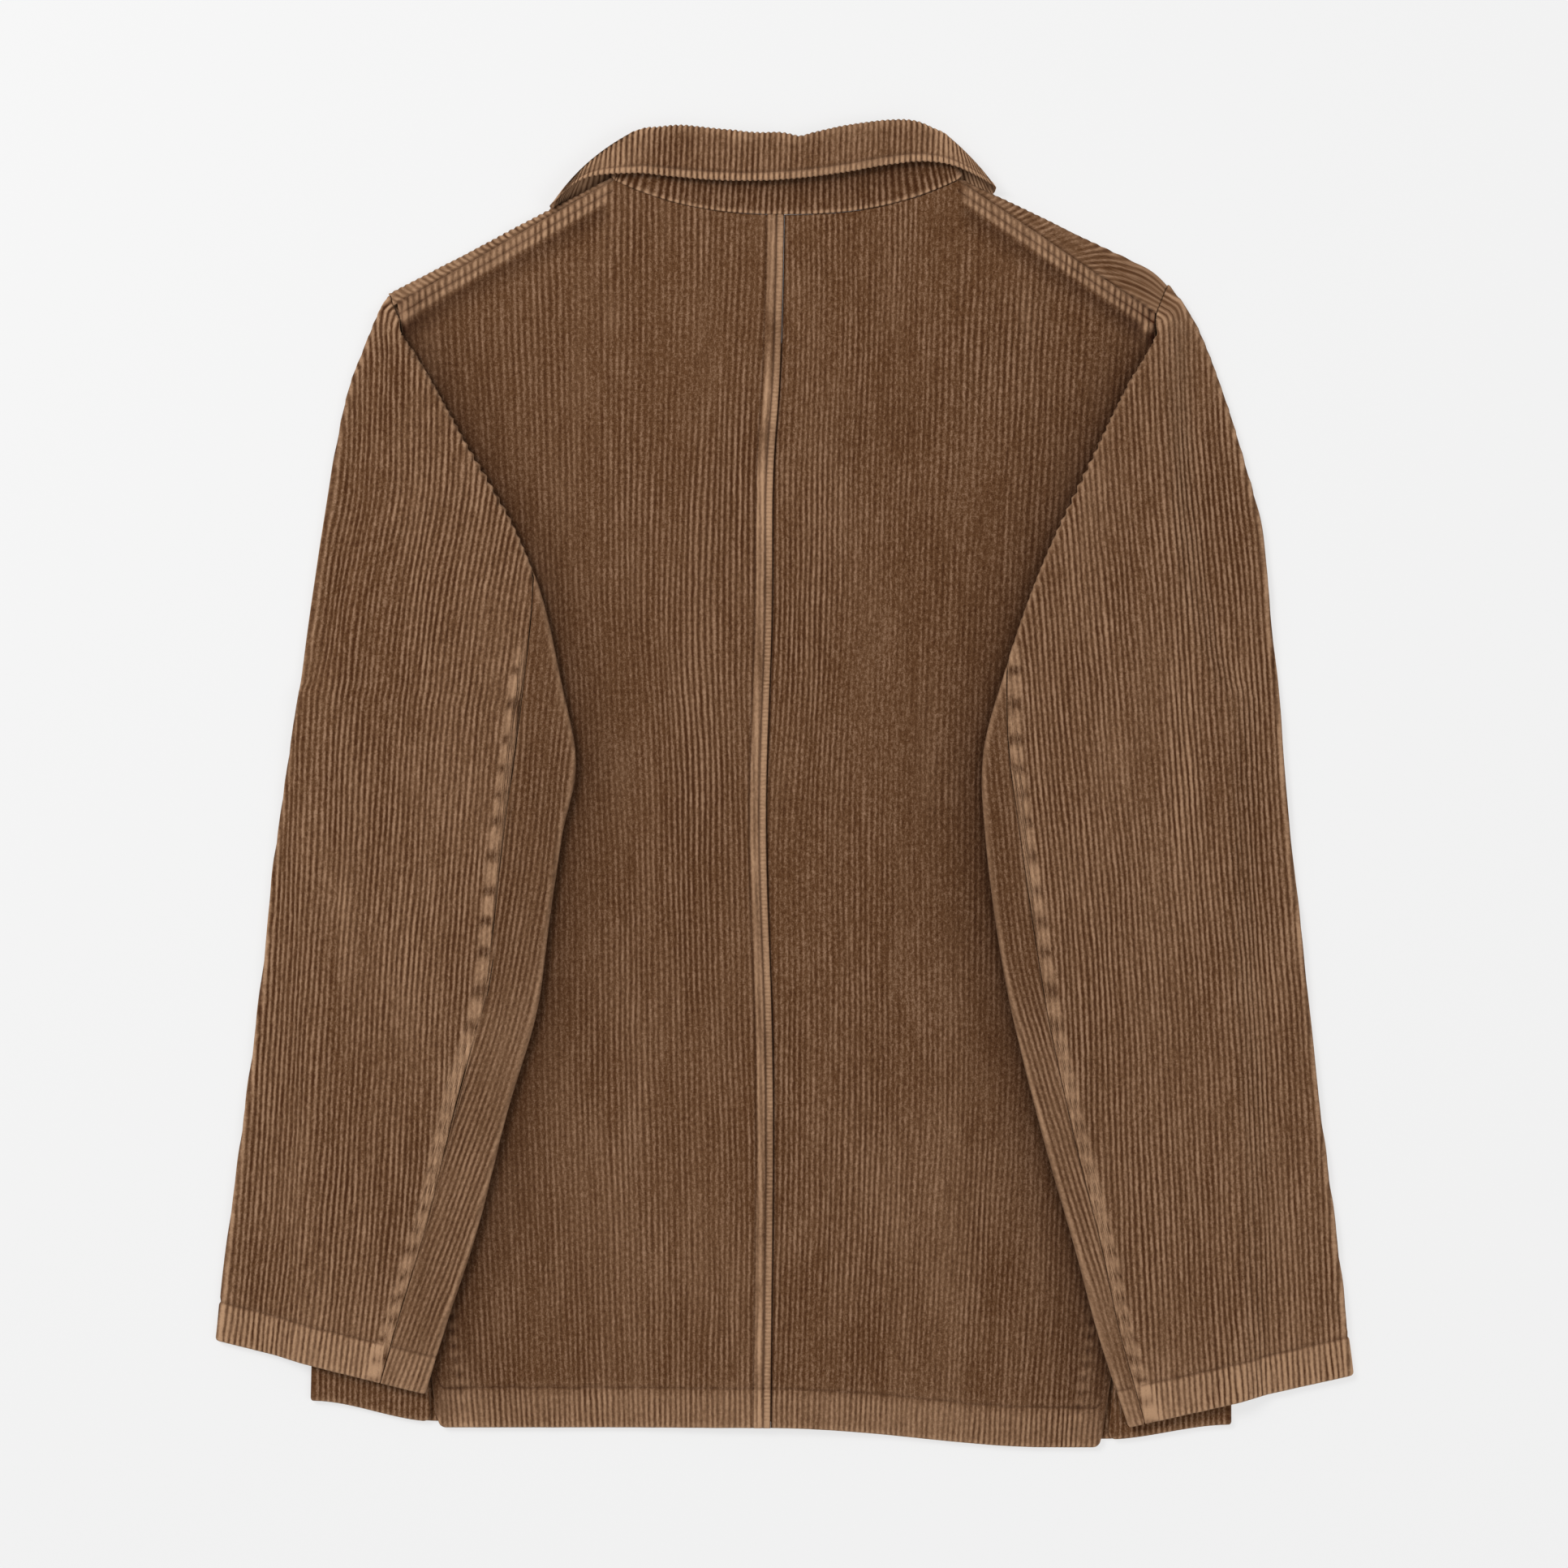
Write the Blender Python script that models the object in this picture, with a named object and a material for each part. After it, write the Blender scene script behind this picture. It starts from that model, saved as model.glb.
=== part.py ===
"""A corduroy jacket laid face down: every cut piece is a wall of cloth, all sizes in millimetres.

X runs to the wearer's right, Y from the hem to the collar, Z up from the surface it lies on.
Each piece is a grid of points on the cloth's hidden face, thickened away from the garment's inside.
"""

import math

import bmesh
import bpy
import numpy as np

# ---- driving sizes
MM = 0.001
WALL = 1.8  # corduroy with its pile
SEAM = 0.3  # between two sewn edges
LAY = 0.4  # between plies that lie on each other
ROLL = 0.8  # inner radius where the body turns at the sides and shoulders
SLEEVE_ROLL_OUT = 1.2  # inner radius along the sleeve's outer fold
SLEEVE_ROLL_IN = 1.9  # inner radius along the crease that lies on the back
LEAF_ROLL = 1.5  # inner radius where the collar turns over at the back
LEAF_ROLL_FRONT = 0.35

HALF_HEM = 277.0  # body laid flat, from the centre-back seam to the side
SIDE_SEAM_HEM = 202.0  # the side seam lies this far out on the back at the hem
SIDE_SEAM_ARM = 262.0  # and this far out at the armhole
HEM_Y, ARM_Y = -386.0, 54.0
SHOULDER = 227.0  # centre-back seam to the shoulder point
NECK_HALF, NECK_X, NECK_Y = 103.5, 1.0, 363.0  # the neck's width and side points
BACK_NECK_DROP, FRONT_NECK_DROP = 21.0, 98.0
OVERLAP = 19.0  # each front runs this far past the centre
OVERLAP_RAMP = 15.0
VENT_Y, VENT_GAP = -330.0, 1.6  # below this height the side seams stay open
BAND_WIDE, BAND_HIGH = 10.0, 0.7  # felled band beside the centre-back seam
LEAF_LIFT = 2.5  # the collar's front half lies below the fronts and lifts them
STAND_CLEAR = 3.0  # the stand's top edge keeps this much more from the leaf where they turn under
LEAF_REACH_X, LEAF_REACH_Y = 148.0, 137.0
LEAF_EDGE_LIFT = 1.2
LEAF_TURN_FOLD, LEAF_TURN_EDGE = 4.7, 5.3  # the leaf's bulge where it turns under at the neck's sides
FOLD_Z = 2 * ROLL  # room between a ply and the same ply turned back over it

SIDES = {
    "left": {
        "sign": -1.0,
        # silhouette of the shoulder, the seam's end behind it, and how far the point leans out
        "shoulder": ((-147.0, 342.5), (-235.0, 297.0)),
        "seam_end": (-234.0, 288.3),
        "back_lean": 8.0,
        "front_lean": 12.0,
        "hem_drop": 0.0,
        "arm_row": 7.62,
    },
    "right": {
        "sign": 1.0,
        "shoulder": ((131.8, 352.3), (217.3, 311.7)),
        "seam_end": (222.4, 284.0),
        "back_lean": -1.0,
        "front_lean": 8.0,
        "hem_drop": 12.0,
        "arm_row": 7.35,
    },
}

CENTRE = [  # height, x of the centre-back seam
    (-390, -8.0),
    (-164, -6.6),
    (-17, -10.5),
    (102, -7.0),
    (198, -5.6),
    (237, -2.7),
    (294, -0.7),
    (342, 0.2),
    (400, 1.0),
]
TAPER = [(-390, 1.0), (54, 0.982), (290, 0.99), (400, 1.0)]  # height, share of the hem's width
ARMHOLE = [  # height, distance from the centre-back seam
    (54, 277.0),
    (60, 266.0),
    (80, 253.0),
    (120, 243.0),
    (170, 236.0),
    (210, 232.0),
    (256, 228.5),
    (290, 227.0),
    (300, 227.0),
]
ARMHOLE_COLUMNS = (228.5, 232, 236, 243, 253)
SIDE_COLUMNS = (SIDE_SEAM_ARM - 2, 253, 243, 232, 220, 210)  # where the side seam is met
LEAN_Y = (256.0, 294.0)  # the shoulder points lean out between these heights

# outer edge, inner edge, elbow seam's distance from the inner edge (below 0 it is under the crease),
# front seam's distance from the outer edge along the under side
SLEEVE_COLUMNS = ("outer_x", "outer_y", "inner_x", "inner_y", "elbow", "front")
SLEEVES = {
    "left": [
        (-342.0, -334.5, -214.5, -366.0, 27.7, 30.0),
        (-337.0, -286.0, -200.5, -320.0, 28.0, 30.0),
        (-330.5, -237.0, -183.5, -268.5, 32.0, 29.0),
        (-320.5, -163.5, -165.0, -196.0, 30.5, 27.0),
        (-313.0, -102.5, -147.5, -136.5, 32.8, 21.0),
        (-307.5, -48.5, -139.5, -78.0, 32.0, 16.0),
        (-302.0, -9.5, -132.0, -29.0, 33.5, 12.0),
        (-296.0, 29.5, -124.0, 12.5, 37.0, 9.0),
        (-290.0, 71.0, -133.0, 61.5, 22.0, 14.0),
        (-284.0, 112.5, -144.5, 112.5, 5.5, 28.0),
        (-277.5, 154.5, -163.0, 159.0, -12.0, 60.0),
        (-270.0, 203.0, -192.0, 209.5, -26.0, 60.0),
        (-262.0, 238.5, -210.5, 242.5, -60.0, 60.0),
        (-253.0, 262.0, -222.5, 262.0, -60.0, 60.0),
        (-244.5, 282.5, -229.5, 276.5, -60.0, 60.0),
        (-240.0, 291.5, -234.6, 287.6, -60.0, 60.0),
    ],
    "right": [
        (342.5, -355.5, 206.0, -386.0, 10.0, 30.0),
        (337.0, -305.5, 187.5, -330.0, 13.0, 30.0),
        (330.0, -249.0, 174.5, -281.0, 15.5, 29.0),
        (321.0, -178.0, 155.5, -215.0, 18.0, 28.0),
        (313.5, -105.0, 137.5, -144.0, 20.5, 27.0),
        (308.5, -61.0, 127.0, -88.0, 22.0, 25.0),
        (303.5, -9.5, 119.5, -26.5, 20.5, 22.0),
        (299.0, 42.0, 119.0, 20.0, 15.0, 18.0),
        (295.0, 86.0, 131.5, 66.5, 1.5, 20.0),
        (290.5, 130.0, 145.0, 108.5, -10.0, 32.0),
        (287.0, 159.0, 162.5, 152.0, -18.0, 70.0),
        (276.0, 198.5, 187.5, 204.5, -30.0, 70.0),
        (265.5, 232.5, 205.0, 240.0, -60.0, 70.0),
        (251.5, 270.0, 218.5, 262.0, -60.0, 70.0),
        (239.5, 291.0, 222.0, 272.5, -60.0, 70.0),
        (233.5, 299.0, 223.2, 283.6, -60.0, 70.0),
    ],
}

# the collar's sections from one front end round the back to the other; the rows that share their
# place are where it turns over at the neck's sides; turn 0 lies on top, 180 on the surface
COLLAR_COLUMNS = ("neck_x", "fold_x", "fold_y", "edge_x", "edge_y", "turn")
COLLAR = [
    (-14.0, -10.0, 293.0, -48.0, 236.0, 180),
    (-50.0, -45.0, 302.0, -82.0, 247.0, 180),
    (-80.0, -72.0, 322.0, -110.0, 270.0, 180),
    (-96.0, -86.0, 350.0, -128.0, 302.0, 180),
    (-101.0, -91.0, 372.0, -137.0, 327.0, 180),
    (-102.5, -92.0, 384.5, -139.5, 341.5, 180),
    (-102.5, -90.8, 388.0, -139.5, 341.5, 0),
    (-98.5, -87.5, 390.5, -121.0, 358.0, 0),
    (-88.0, -78.0, 394.0, -91.0, 366.0, 0),
    (-67.0, -61.5, 395.5, -67.0, 364.0, 0),
    (-43.0, -39.5, 393.5, -43.0, 362.0, 0),
    (-18.0, -15.0, 391.0, -16.5, 361.5, 0),
    (8.0, 9.5, 390.0, 9.5, 363.0, 0),
    (35.0, 34.0, 395.0, 36.5, 366.5, 0),
    (60.0, 58.5, 398.5, 62.0, 371.0, 0),
    (84.0, 77.0, 398.5, 85.5, 373.0, 0),
    (97.5, 89.0, 393.5, 108.0, 366.0, 0),
    (104.5, 94.0, 389.0, 129.0, 350.0, 0),
    (104.5, 94.5, 386.0, 129.0, 350.0, 180),
    (103.0, 92.5, 373.0, 128.0, 332.0, 180),
    (98.0, 88.0, 350.0, 122.0, 305.0, 180),
    (82.0, 74.0, 322.0, 106.0, 272.0, 180),
    (52.0, 46.0, 302.0, 80.0, 248.0, 180),
    (16.0, 10.0, 293.0, 46.0, 236.0, 180),
]

LEFT_TURN, RIGHT_TURN = 5, 17  # rows of the collar after which it turns over

CORDUROY = (0.145, 0.072, 0.037, 1.0)
CORDUROY_ROUGH = 0.95


# ---- curves and helpers
def ease(t):
    """0 to 1 with level ends."""
    t = np.clip(t, 0.0, 1.0)
    return t * t * (3 - 2 * t)


def along(at, rows):
    """A smooth curve through (place, value) rows."""
    places, values = np.array(rows, float).T
    slopes = np.gradient(values, places)
    at = np.clip(at, places[0], places[-1])
    i = np.clip(np.searchsorted(places, at) - 1, 0, len(places) - 2)
    span = places[i + 1] - places[i]
    t = (at - places[i]) / span
    start = (1 + 2 * t) * (1 - t) ** 2 * values[i] + t * (1 - t) ** 2 * span * slopes[i]
    end = t * t * (3 - 2 * t) * values[i + 1] + t * t * (t - 1) * span * slopes[i + 1]
    return start + end


def straight(at, rows):
    places, values = np.array(rows, float).T
    return np.interp(at, places, values)


def centre(y):
    return along(y, CENTRE)


def taper(y):
    return along(y, TAPER)


# ---- how high each ply lies
def front_lift(x, y):
    """The collar's front half below the fronts lifts them."""
    reach = np.hypot((x - NECK_X) / LEAF_REACH_X, (y - NECK_Y) / LEAF_REACH_Y)
    return LEAF_LIFT * ease((1.25 - reach) / 0.2)


def overlap_lift(x, y):
    """The right front lies on the left one at the centre."""
    past = x - centre(y) - OVERLAP - 1.5
    return (WALL + LAY) * ease(1 - past / OVERLAP_RAMP)


def back_inside(x, y):
    """Height of the back's hidden face."""
    out = np.abs(x - centre(y))
    ridge = (WALL + LAY) * ease(1 - (out - OVERLAP - 4) / 60) * ease((350 - y) / 60)
    swell = 1.2 * ease(1 - out / 170) * ease((y + 420) / 120)
    return WALL + FOLD_Z + front_lift(x, y) + ridge + swell


# ---- the body: each point function gives the hidden face's point and the wall's direction outward
def armhole_out(y):
    return straight(y, ARMHOLE)


def leaning(y):
    return np.clip((y - LEAN_Y[0]) / (LEAN_Y[1] - LEAN_Y[0]), 0, 1)


def body_place(side, out, y, lean):
    """Where cloth at this distance from the centre-back seam lies, before any fold."""
    tip = leaning(y) * ease((out - 150) / 77)
    return centre(y) + side["sign"] * (out * taper(y) + side[lean] * tip)


def up_and(*parts):
    return np.stack(np.broadcast_arrays(*parts), axis=-1).astype(float)


def back_point(side, u, y):
    x = body_place(side, u, y, "back_lean")
    band = 0.0
    if side["sign"] < 0:
        band = BAND_HIGH * ease((BAND_WIDE + 0.5 - u) / 1.5)
    return up_and(x, y, back_inside(x, y) + band), up_and(0 * x, 0 * x, 1 + 0 * x)


def shoulder_fold(side):
    """A point on the line the shoulder turns over, and its direction outward."""
    near, far = (np.array(p) for p in side["shoulder"])
    run = (far - near) / np.linalg.norm(far - near)
    out = np.array([-run[1], run[0]])
    out = out if out[1] > 0 else -out
    return near - out * (WALL + ROLL), out


def wrapped(past, radius):
    """In-plane place, rise and turn of cloth that runs `past` a fold and comes back above itself."""
    turn = np.clip(past / radius, 0, math.pi)
    place = radius * np.sin(turn) - np.maximum(past - math.pi * radius, 0)
    return place, radius * (1 - np.cos(turn)), turn


def front_point(side, u, y):
    """On the surface, round the side beyond the fold, and over the shoulder."""
    fold = HALF_HEM - WALL - ROLL
    back, rise, turn = wrapped(np.maximum(u - fold, 0), ROLL)
    x = body_place(side, np.minimum(u, fold) + back, y, "front_lean")
    start, away = shoulder_fold(side)
    past = np.maximum((x - start[0]) * away[0] + (y - start[1]) * away[1], 0)
    back, rise_2, turn_2 = wrapped(past, ROLL)
    x = x + away[0] * (back - past)
    y = y + away[1] * (back - past)
    lift = front_lift(x, y)
    if side["sign"] > 0:
        lift = lift + overlap_lift(x, y)
    aside = side["sign"] * np.sin(turn) + away[0] * np.sin(turn_2)
    ahead = away[1] * np.sin(turn_2)
    down = -np.cos(turn) * np.cos(turn_2)
    return up_and(x, y, WALL + lift + rise + rise_2), up_and(aside, ahead, down)


def side_seam(gap_side):
    """Rows of (distance from centre, height) along the side seam, opening to a vent at the hem."""
    heights = np.linspace(HEM_Y - 20, ARM_Y, 60)
    out = SIDE_SEAM_HEM + (heights - HEM_Y) * (SIDE_SEAM_ARM - SIDE_SEAM_HEM) / (ARM_Y - HEM_Y)
    gap = SEAM / 2 + VENT_GAP * ease((VENT_Y - heights) / (VENT_Y - HEM_Y))
    return out + gap_side * gap, heights


def back_hem(side, u):
    drop = side["hem_drop"] * ease(u / 170)
    return HEM_Y - 1.0 - drop


def front_hem(side, u):
    """The front's hem, rising a little towards the side."""
    fold = HALF_HEM - WALL
    lie = HEM_Y + 2.5 - side["hem_drop"] * 0.9 * ease(u / 170)
    near_side = ease(1 - np.abs(u - fold) / 75)
    return lie + near_side * (12.5 - 0.3 * side["hem_drop"])


def neck_half(side):
    """Distance from the centre-back seam to the neck's side point."""
    y = NECK_Y - 0.5
    return float((NECK_X - centre(y)) * side["sign"] + NECK_HALF) / float(taper(y))


def past_shoulder_seam(side, x, y):
    """How far beyond the shoulder seam a place lies, towards the fold."""
    near = np.array([NECK_X + side["sign"] * NECK_HALF, NECK_Y])
    run = np.array(side["seam_end"]) - near
    run /= np.linalg.norm(run)
    return ((y - near[1]) * run[0] - (x - near[0]) * run[1]) * side["sign"]


def back_shoulder(side, u):
    """Height at which the back's cloth at distance u reaches the shoulder seam."""
    heights = np.linspace(240, 400, 3201)
    past = past_shoulder_seam(side, body_place(side, u, heights, "back_lean"), heights)
    return float(np.interp(-SEAM / 2, past, heights))


def back_top(side, u):
    x = centre(np.full_like(u, 342.0)) + side["sign"] * u
    neck = NECK_Y - BACK_NECK_DROP * (1 - np.minimum(np.abs(x - NECK_X) / NECK_HALF, 1) ** 2.4)
    shoulder = np.array([back_shoulder(side, at) for at in u])
    heights, outs = np.array(ARMHOLE[:-1], float).T
    arm = np.interp(-u, -outs, heights)
    top = np.where(u < neck_half(side), neck - SEAM / 2, shoulder)
    return np.where(u > SHOULDER, arm, top)


def back_panel(side):
    neck_u = neck_half(side)
    across = [0.15, 8.5, 10.8, 28, 45, 62, 78, 92, neck_u, 132, 162, 186, SHOULDER]
    seam_u, seam_y = side_seam(-1)
    across += [float(np.interp(back_hem(side, SIDE_SEAM_HEM), seam_y, seam_u))]
    u = np.array(sorted(set(across) | set(ARMHOLE_COLUMNS) | set(SIDE_COLUMNS)))
    bottom = np.maximum(back_hem(side, u), np.interp(u, seam_u, seam_y))
    top = back_top(side, u)
    rows = np.linspace(0, 1, BACK_ROWS)
    y = bottom[None, :] + rows[:, None] * (top - bottom)[None, :]
    return [back_point(side, np.broadcast_to(u, y.shape), y)]


def shoulder_begin(side, u):
    """Height at which the cloth at distance u reaches the shoulder's fold."""
    start, away = shoulder_fold(side)
    heights = np.linspace(200, 400, 2001)
    x = body_place(side, u, heights, "front_lean")
    past = (x - start[0]) * away[0] + (heights - start[1]) * away[1]
    return float(np.interp(0.0, past, heights))


def front_neck(side, u):
    """Height at which the cloth at distance u reaches the neck's curve."""
    heights = np.linspace(NECK_Y - FRONT_NECK_DROP - 5, NECK_Y, 1801)
    x = body_place(side, u, heights, "front_lean")
    share = np.clip(np.abs(x - NECK_X) / NECK_HALF, 0, 1)
    past = heights - (NECK_Y - FRONT_NECK_DROP * np.sqrt(1 - share**2))
    return float(np.interp(-SEAM / 2, past, heights))


def front_top(side, u):
    """The neck curve, the shoulder's fold, the armhole, then the side seam, seen on the flat cloth."""
    fold = HALF_HEM - WALL - ROLL
    neck_u = neck_half(side)
    neck = np.array([front_neck(side, at) for at in u])
    shoulder = np.array([shoulder_begin(side, at) for at in u])
    heights, outs = np.array(ARMHOLE[:-1], float).T
    arm = np.interp(-u, -outs, heights)
    seam_u, seam_y = side_seam(1)
    cloth_u = 2 * fold + math.pi * ROLL - seam_u
    under = np.interp(-u, -cloth_u, seam_y)
    top = np.where(np.abs(u) < neck_u, neck, shoulder)
    top = np.where(u > SHOULDER, arm, top)
    top = np.where(u > fold - 1, ARM_Y - SEAM / 2, top)
    return np.where(u > 2 * fold + math.pi * ROLL - SIDE_SEAM_ARM, under, top)


def shoulder_strip(side, columns):
    """Rows of the cloth beyond the shoulder's fold, up to the shoulder seam on the back."""
    _, away = shoulder_fold(side)
    rows = []
    for u in columns:
        begin = shoulder_begin(side, u)
        heights = begin + np.linspace(0, 60, 2401)
        points, _ = front_point(side, np.full_like(heights, u), heights)
        past = past_shoulder_seam(side, points[:, 0], points[:, 1])
        beyond = np.argmax(past)
        reach = heights[beyond + np.argmax(past[beyond:] < SEAM / 2)] - begin
        bend = min(math.pi * ROLL / away[1], reach * 0.9)
        stops = [bend * share for share in (0.0, 0.25, 0.5, 0.75, 1.0)] + [(bend + reach) / 2, reach]
        rows.append(begin + np.array(stops))
    y = np.array(rows).T
    return front_point(side, np.broadcast_to(np.array(columns), y.shape), y)


def front_panel(side):
    fold = HALF_HEM - WALL - ROLL
    turn = math.pi * ROLL
    neck_u = neck_half(side)
    over_shoulder = [neck_u + 2 * SEAM, 140, 180, 212, SHOULDER]
    across = [-OVERLAP, 0, 21, 36, 56, 73.5, 88, 98, neck_u - 1.2] + over_shoulder
    across += list(ARMHOLE_COLUMNS) + [266, fold - 1]
    across += [fold + turn * share for share in (0.0, 0.25, 0.5, 0.75, 1.0)]
    across += [2 * fold + turn - out for out in SIDE_COLUMNS]
    seam_u, seam_y = side_seam(1)
    corner = np.interp(front_hem(side, 2 * fold - SIDE_SEAM_HEM) + 3, seam_y, seam_u)
    across += [2 * fold + turn - corner]
    u = np.array(across)
    bottom = front_hem(side, u)
    top = front_top(side, u)
    y = bottom[None, :] + FRONT_ROWS[:, None] * (top - bottom)[None, :]
    return [front_point(side, np.broadcast_to(u, y.shape), y), shoulder_strip(side, over_shoulder)]


# ---- the sleeves
def edge_out(side, x, y, lean="back_lean"):
    """How far outside the body's side, or its armhole, a place lies."""
    u = side["sign"] * (x - centre(y)) / taper(y)
    edge = np.where(y < ARM_Y, HALF_HEM, armhole_out(y))
    return u - edge - side[lean] * leaning(y)


def edge_reached(side, row, width, lean):
    """Distance along the section, from the outer edge, at which it meets the side or the armhole."""
    t = np.linspace(0, 1, 800)
    x = row["outer_x"] + t * (row["inner_x"] - row["outer_x"])
    y = row["outer_y"] + t * (row["inner_y"] - row["outer_y"])
    inside = np.nonzero(edge_out(side, x, y, lean) <= 0)[0]
    return width * (t[inside[0]] if len(inside) else 1.0)


class Section:
    """One section of a sleeve: its ring of points from the underarm line round the outer fold and back."""

    def __init__(self, name, s):
        side = SIDES[name]
        row = sleeve_row(name, s)
        self.outer = np.array([row["outer_x"], row["outer_y"]])
        run = np.array([row["inner_x"], row["inner_y"]]) - self.outer
        self.width = np.linalg.norm(run)
        self.run = run / self.width
        self.above = s > side["arm_row"]
        self.side = side
        self.aside = 1 - float(ease((s - 12.8) / 0.9))  # the crease runs out at the shoulder point
        self.raised = 1 - float(ease((s - 13.4) / 1.3))
        self.front_slit = edge_reached(side, row, self.width, "front_lean")
        self.back_slit = edge_reached(side, row, self.width, "back_lean")
        self.inset = min(WALL + SLEEVE_ROLL_OUT, 0.4 * self.width)
        self.gap = SEAM + 0.1
        self.join()
        fold_in = self.at_inner if self.aside > 0.02 else self.total
        self.front_seam = self.at_outer - row["front"]
        self.elbow_seam = fold_in - row["elbow"]
        self.seam_gap = SEAM / 2 + 0.1 + SEAM * float(ease(1 - abs(row["elbow"]) / 9))

    def place(self, q):
        return self.outer[0] + self.run[0] * q, self.outer[1] + self.run[1] * q

    def lower(self, q, on_back):
        x, y = self.place(q)
        stack = back_inside(x, y) + WALL + LAY
        out = edge_out(self.side, x, y)
        start = min(13.0, self.front_slit - 1.5)
        rise = ease((start - out) / (start - 0.8))
        if self.above:
            rise = np.ones_like(q) if on_back else rise * (1 - ease((y - ARM_Y) / 18))
        return WALL + rise * stack

    def upper(self, q):
        x, y = self.place(q)
        rise = ease((24 - edge_out(self.side, x, y)) / 22)
        flat = 2 * SLEEVE_ROLL_OUT
        gap = flat + (2 * SLEEVE_ROLL_IN - flat) * ease(q / self.width * 1.6)
        high = back_inside(x, y) + self.raised * (2 * WALL + LAY + gap)
        return WALL + flat + rise * (high - WALL - flat)

    def join(self):
        """Puts the under side, the folds and the upper side together, with lengths along them."""
        roll_in = max(SLEEVE_ROLL_IN * self.aside, 0.05)
        crease = self.width - (WALL + SLEEVE_ROLL_IN)
        stop = self.aside * crease + (1 - self.aside) * (self.back_slit - self.gap)
        stop = max(stop, self.inset + 0.5)
        under_q = np.linspace(max(self.front_slit - self.gap, self.inset + 0.1), self.inset, 60)
        under_z = self.lower(under_q, False)
        upper_q = np.linspace(self.inset, stop, 140)
        upper_z = self.upper(upper_q)
        turn = np.linspace(0, math.pi, 13)[1:-1]
        out_q = self.inset - (self.inset - min(WALL, 0.2 * self.width)) * np.sin(turn)
        out_z = (under_z[-1] + upper_z[0]) / 2 - (upper_z[0] - under_z[-1]) / 2 * np.cos(turn)
        slit = self.back_slit - self.gap if self.above else self.front_slit - self.gap
        back_q = np.linspace(stop, min(slit, stop), 80)
        back_z = self.lower(back_q, True)
        back_z = back_z * self.aside + upper_z[-1] * (1 - self.aside)
        in_q = stop + roll_in * np.sin(turn)
        in_z = (upper_z[-1] + back_z[0]) / 2 + (upper_z[-1] - back_z[0]) / 2 * np.cos(turn)
        q = np.concatenate([under_q, out_q, upper_q, in_q, back_q])
        z = np.concatenate([under_z, out_z, upper_z, in_z, back_z])
        self.q, self.z = q, z
        self.length = np.concatenate([[0], np.cumsum(np.hypot(np.diff(q), np.diff(z)))])
        self.total = self.length[-1]
        self.at_outer = self.length[60 + 5]
        self.at_inner = self.length[60 + 11 + 140 + 5]

    def point(self, at):
        """Points and outward directions at these lengths along the ring."""
        q = np.interp(at, self.length, self.q)
        z = np.interp(at, self.length, self.z)
        step = 0.12
        ahead, behind = np.minimum(at + step, self.total), np.maximum(at - step, 0)
        dq = np.interp(ahead, self.length, self.q) - np.interp(behind, self.length, self.q)
        dz = np.interp(ahead, self.length, self.z) - np.interp(behind, self.length, self.z)
        size = np.maximum(np.hypot(dq, dz), 1e-9)
        x, y = self.place(q)
        across, up = -dz / size, dq / size
        return up_and(x, y, z), up_and(self.run[0] * across, self.run[1] * across, up)


def sleeve_row(name, s):
    table = np.array(SLEEVES[name], float)
    index = np.arange(len(table))
    values = [float(along(s, list(zip(index, column)))) for column in table.T]
    return dict(zip(SLEEVE_COLUMNS, values))


def sleeve_rows(name):
    arm = SIDES[name]["arm_row"]
    low = np.linspace(0, arm, 13)
    middle = np.linspace(arm, 12, 10)[1:]
    return np.concatenate([low, middle, [12.5, 12.9, 13.3, 13.7, 14.1, 14.5, 15]])


def stacked(rows):
    points, directions = zip(*rows)
    return np.array(points), np.array(directions)


def spaced(start, stop, marks):
    """The marks, kept in order between start and stop."""
    count = len(marks)
    step = min(0.5 * (stop - start) / (count + 1), 0.5)
    return [
        min(max(mark, start + (i + 1) * step), stop - (count - i) * step)
        for i, mark in enumerate(sorted(marks))
    ]


def top_sleeve(name):
    rows = []
    for s in sleeve_rows(name):
        ring = Section(name, s)
        start = ring.front_seam + ring.seam_gap if ring.front_seam > 0 else 0.0
        stop = min(ring.elbow_seam - ring.seam_gap, ring.total)
        outer = spaced(start, (start + stop) / 2, [ring.at_outer + step for step in OUTER_FOLD_STEPS])
        crease = spaced((start + stop) / 2, stop, [ring.at_inner + step for step in CREASE_STEPS])
        across = [outer[-1] + (crease[0] - outer[-1]) * share for share in np.linspace(0, 1, 8)[1:-1]]
        stops = [start, (start + outer[0]) / 2] + outer + across + crease + [stop]
        rows.append(ring.point(np.array(stops)))
    return [stacked(rows)]


def under_sleeve(name):
    """From the elbow seam round the crease to the underarm line, and on to the front seam."""
    whole, back_tab, front_tab = [], [], []
    arm = SIDES[name]["arm_row"]
    for s in sleeve_rows(name):
        ring = Section(name, s)
        start = ring.elbow_seam + ring.seam_gap
        left = ring.total - start
        crease = spaced(start, start + 0.7 * left, [ring.at_inner + step for step in CREASE_STEPS])
        rest = [crease[-1] + (ring.total - crease[-1]) * share for share in (0.25, 0.5, 0.75, 1.0)]
        back = ring.point(np.array([start, (start + crease[0]) / 2] + crease + rest))
        end = ring.front_seam - ring.seam_gap
        front = ring.point(end * np.array([0, 0.12, 0.24, 0.36, 0.5, 0.75, 1.0]))
        if s <= arm:
            whole.append([np.concatenate([a, b[1:]]) for a, b in zip(back, front)])
        if s >= arm and left > 4:
            back_tab.append(back)
        if s >= arm and end > 3:
            front_tab.append(front)
    back_tab[0] = [part[:11] for part in whole[-1]]
    front_tab[0] = [part[10:] for part in whole[-1]]
    return [stacked(whole), stacked(back_tab), stacked(front_tab)]


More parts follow.
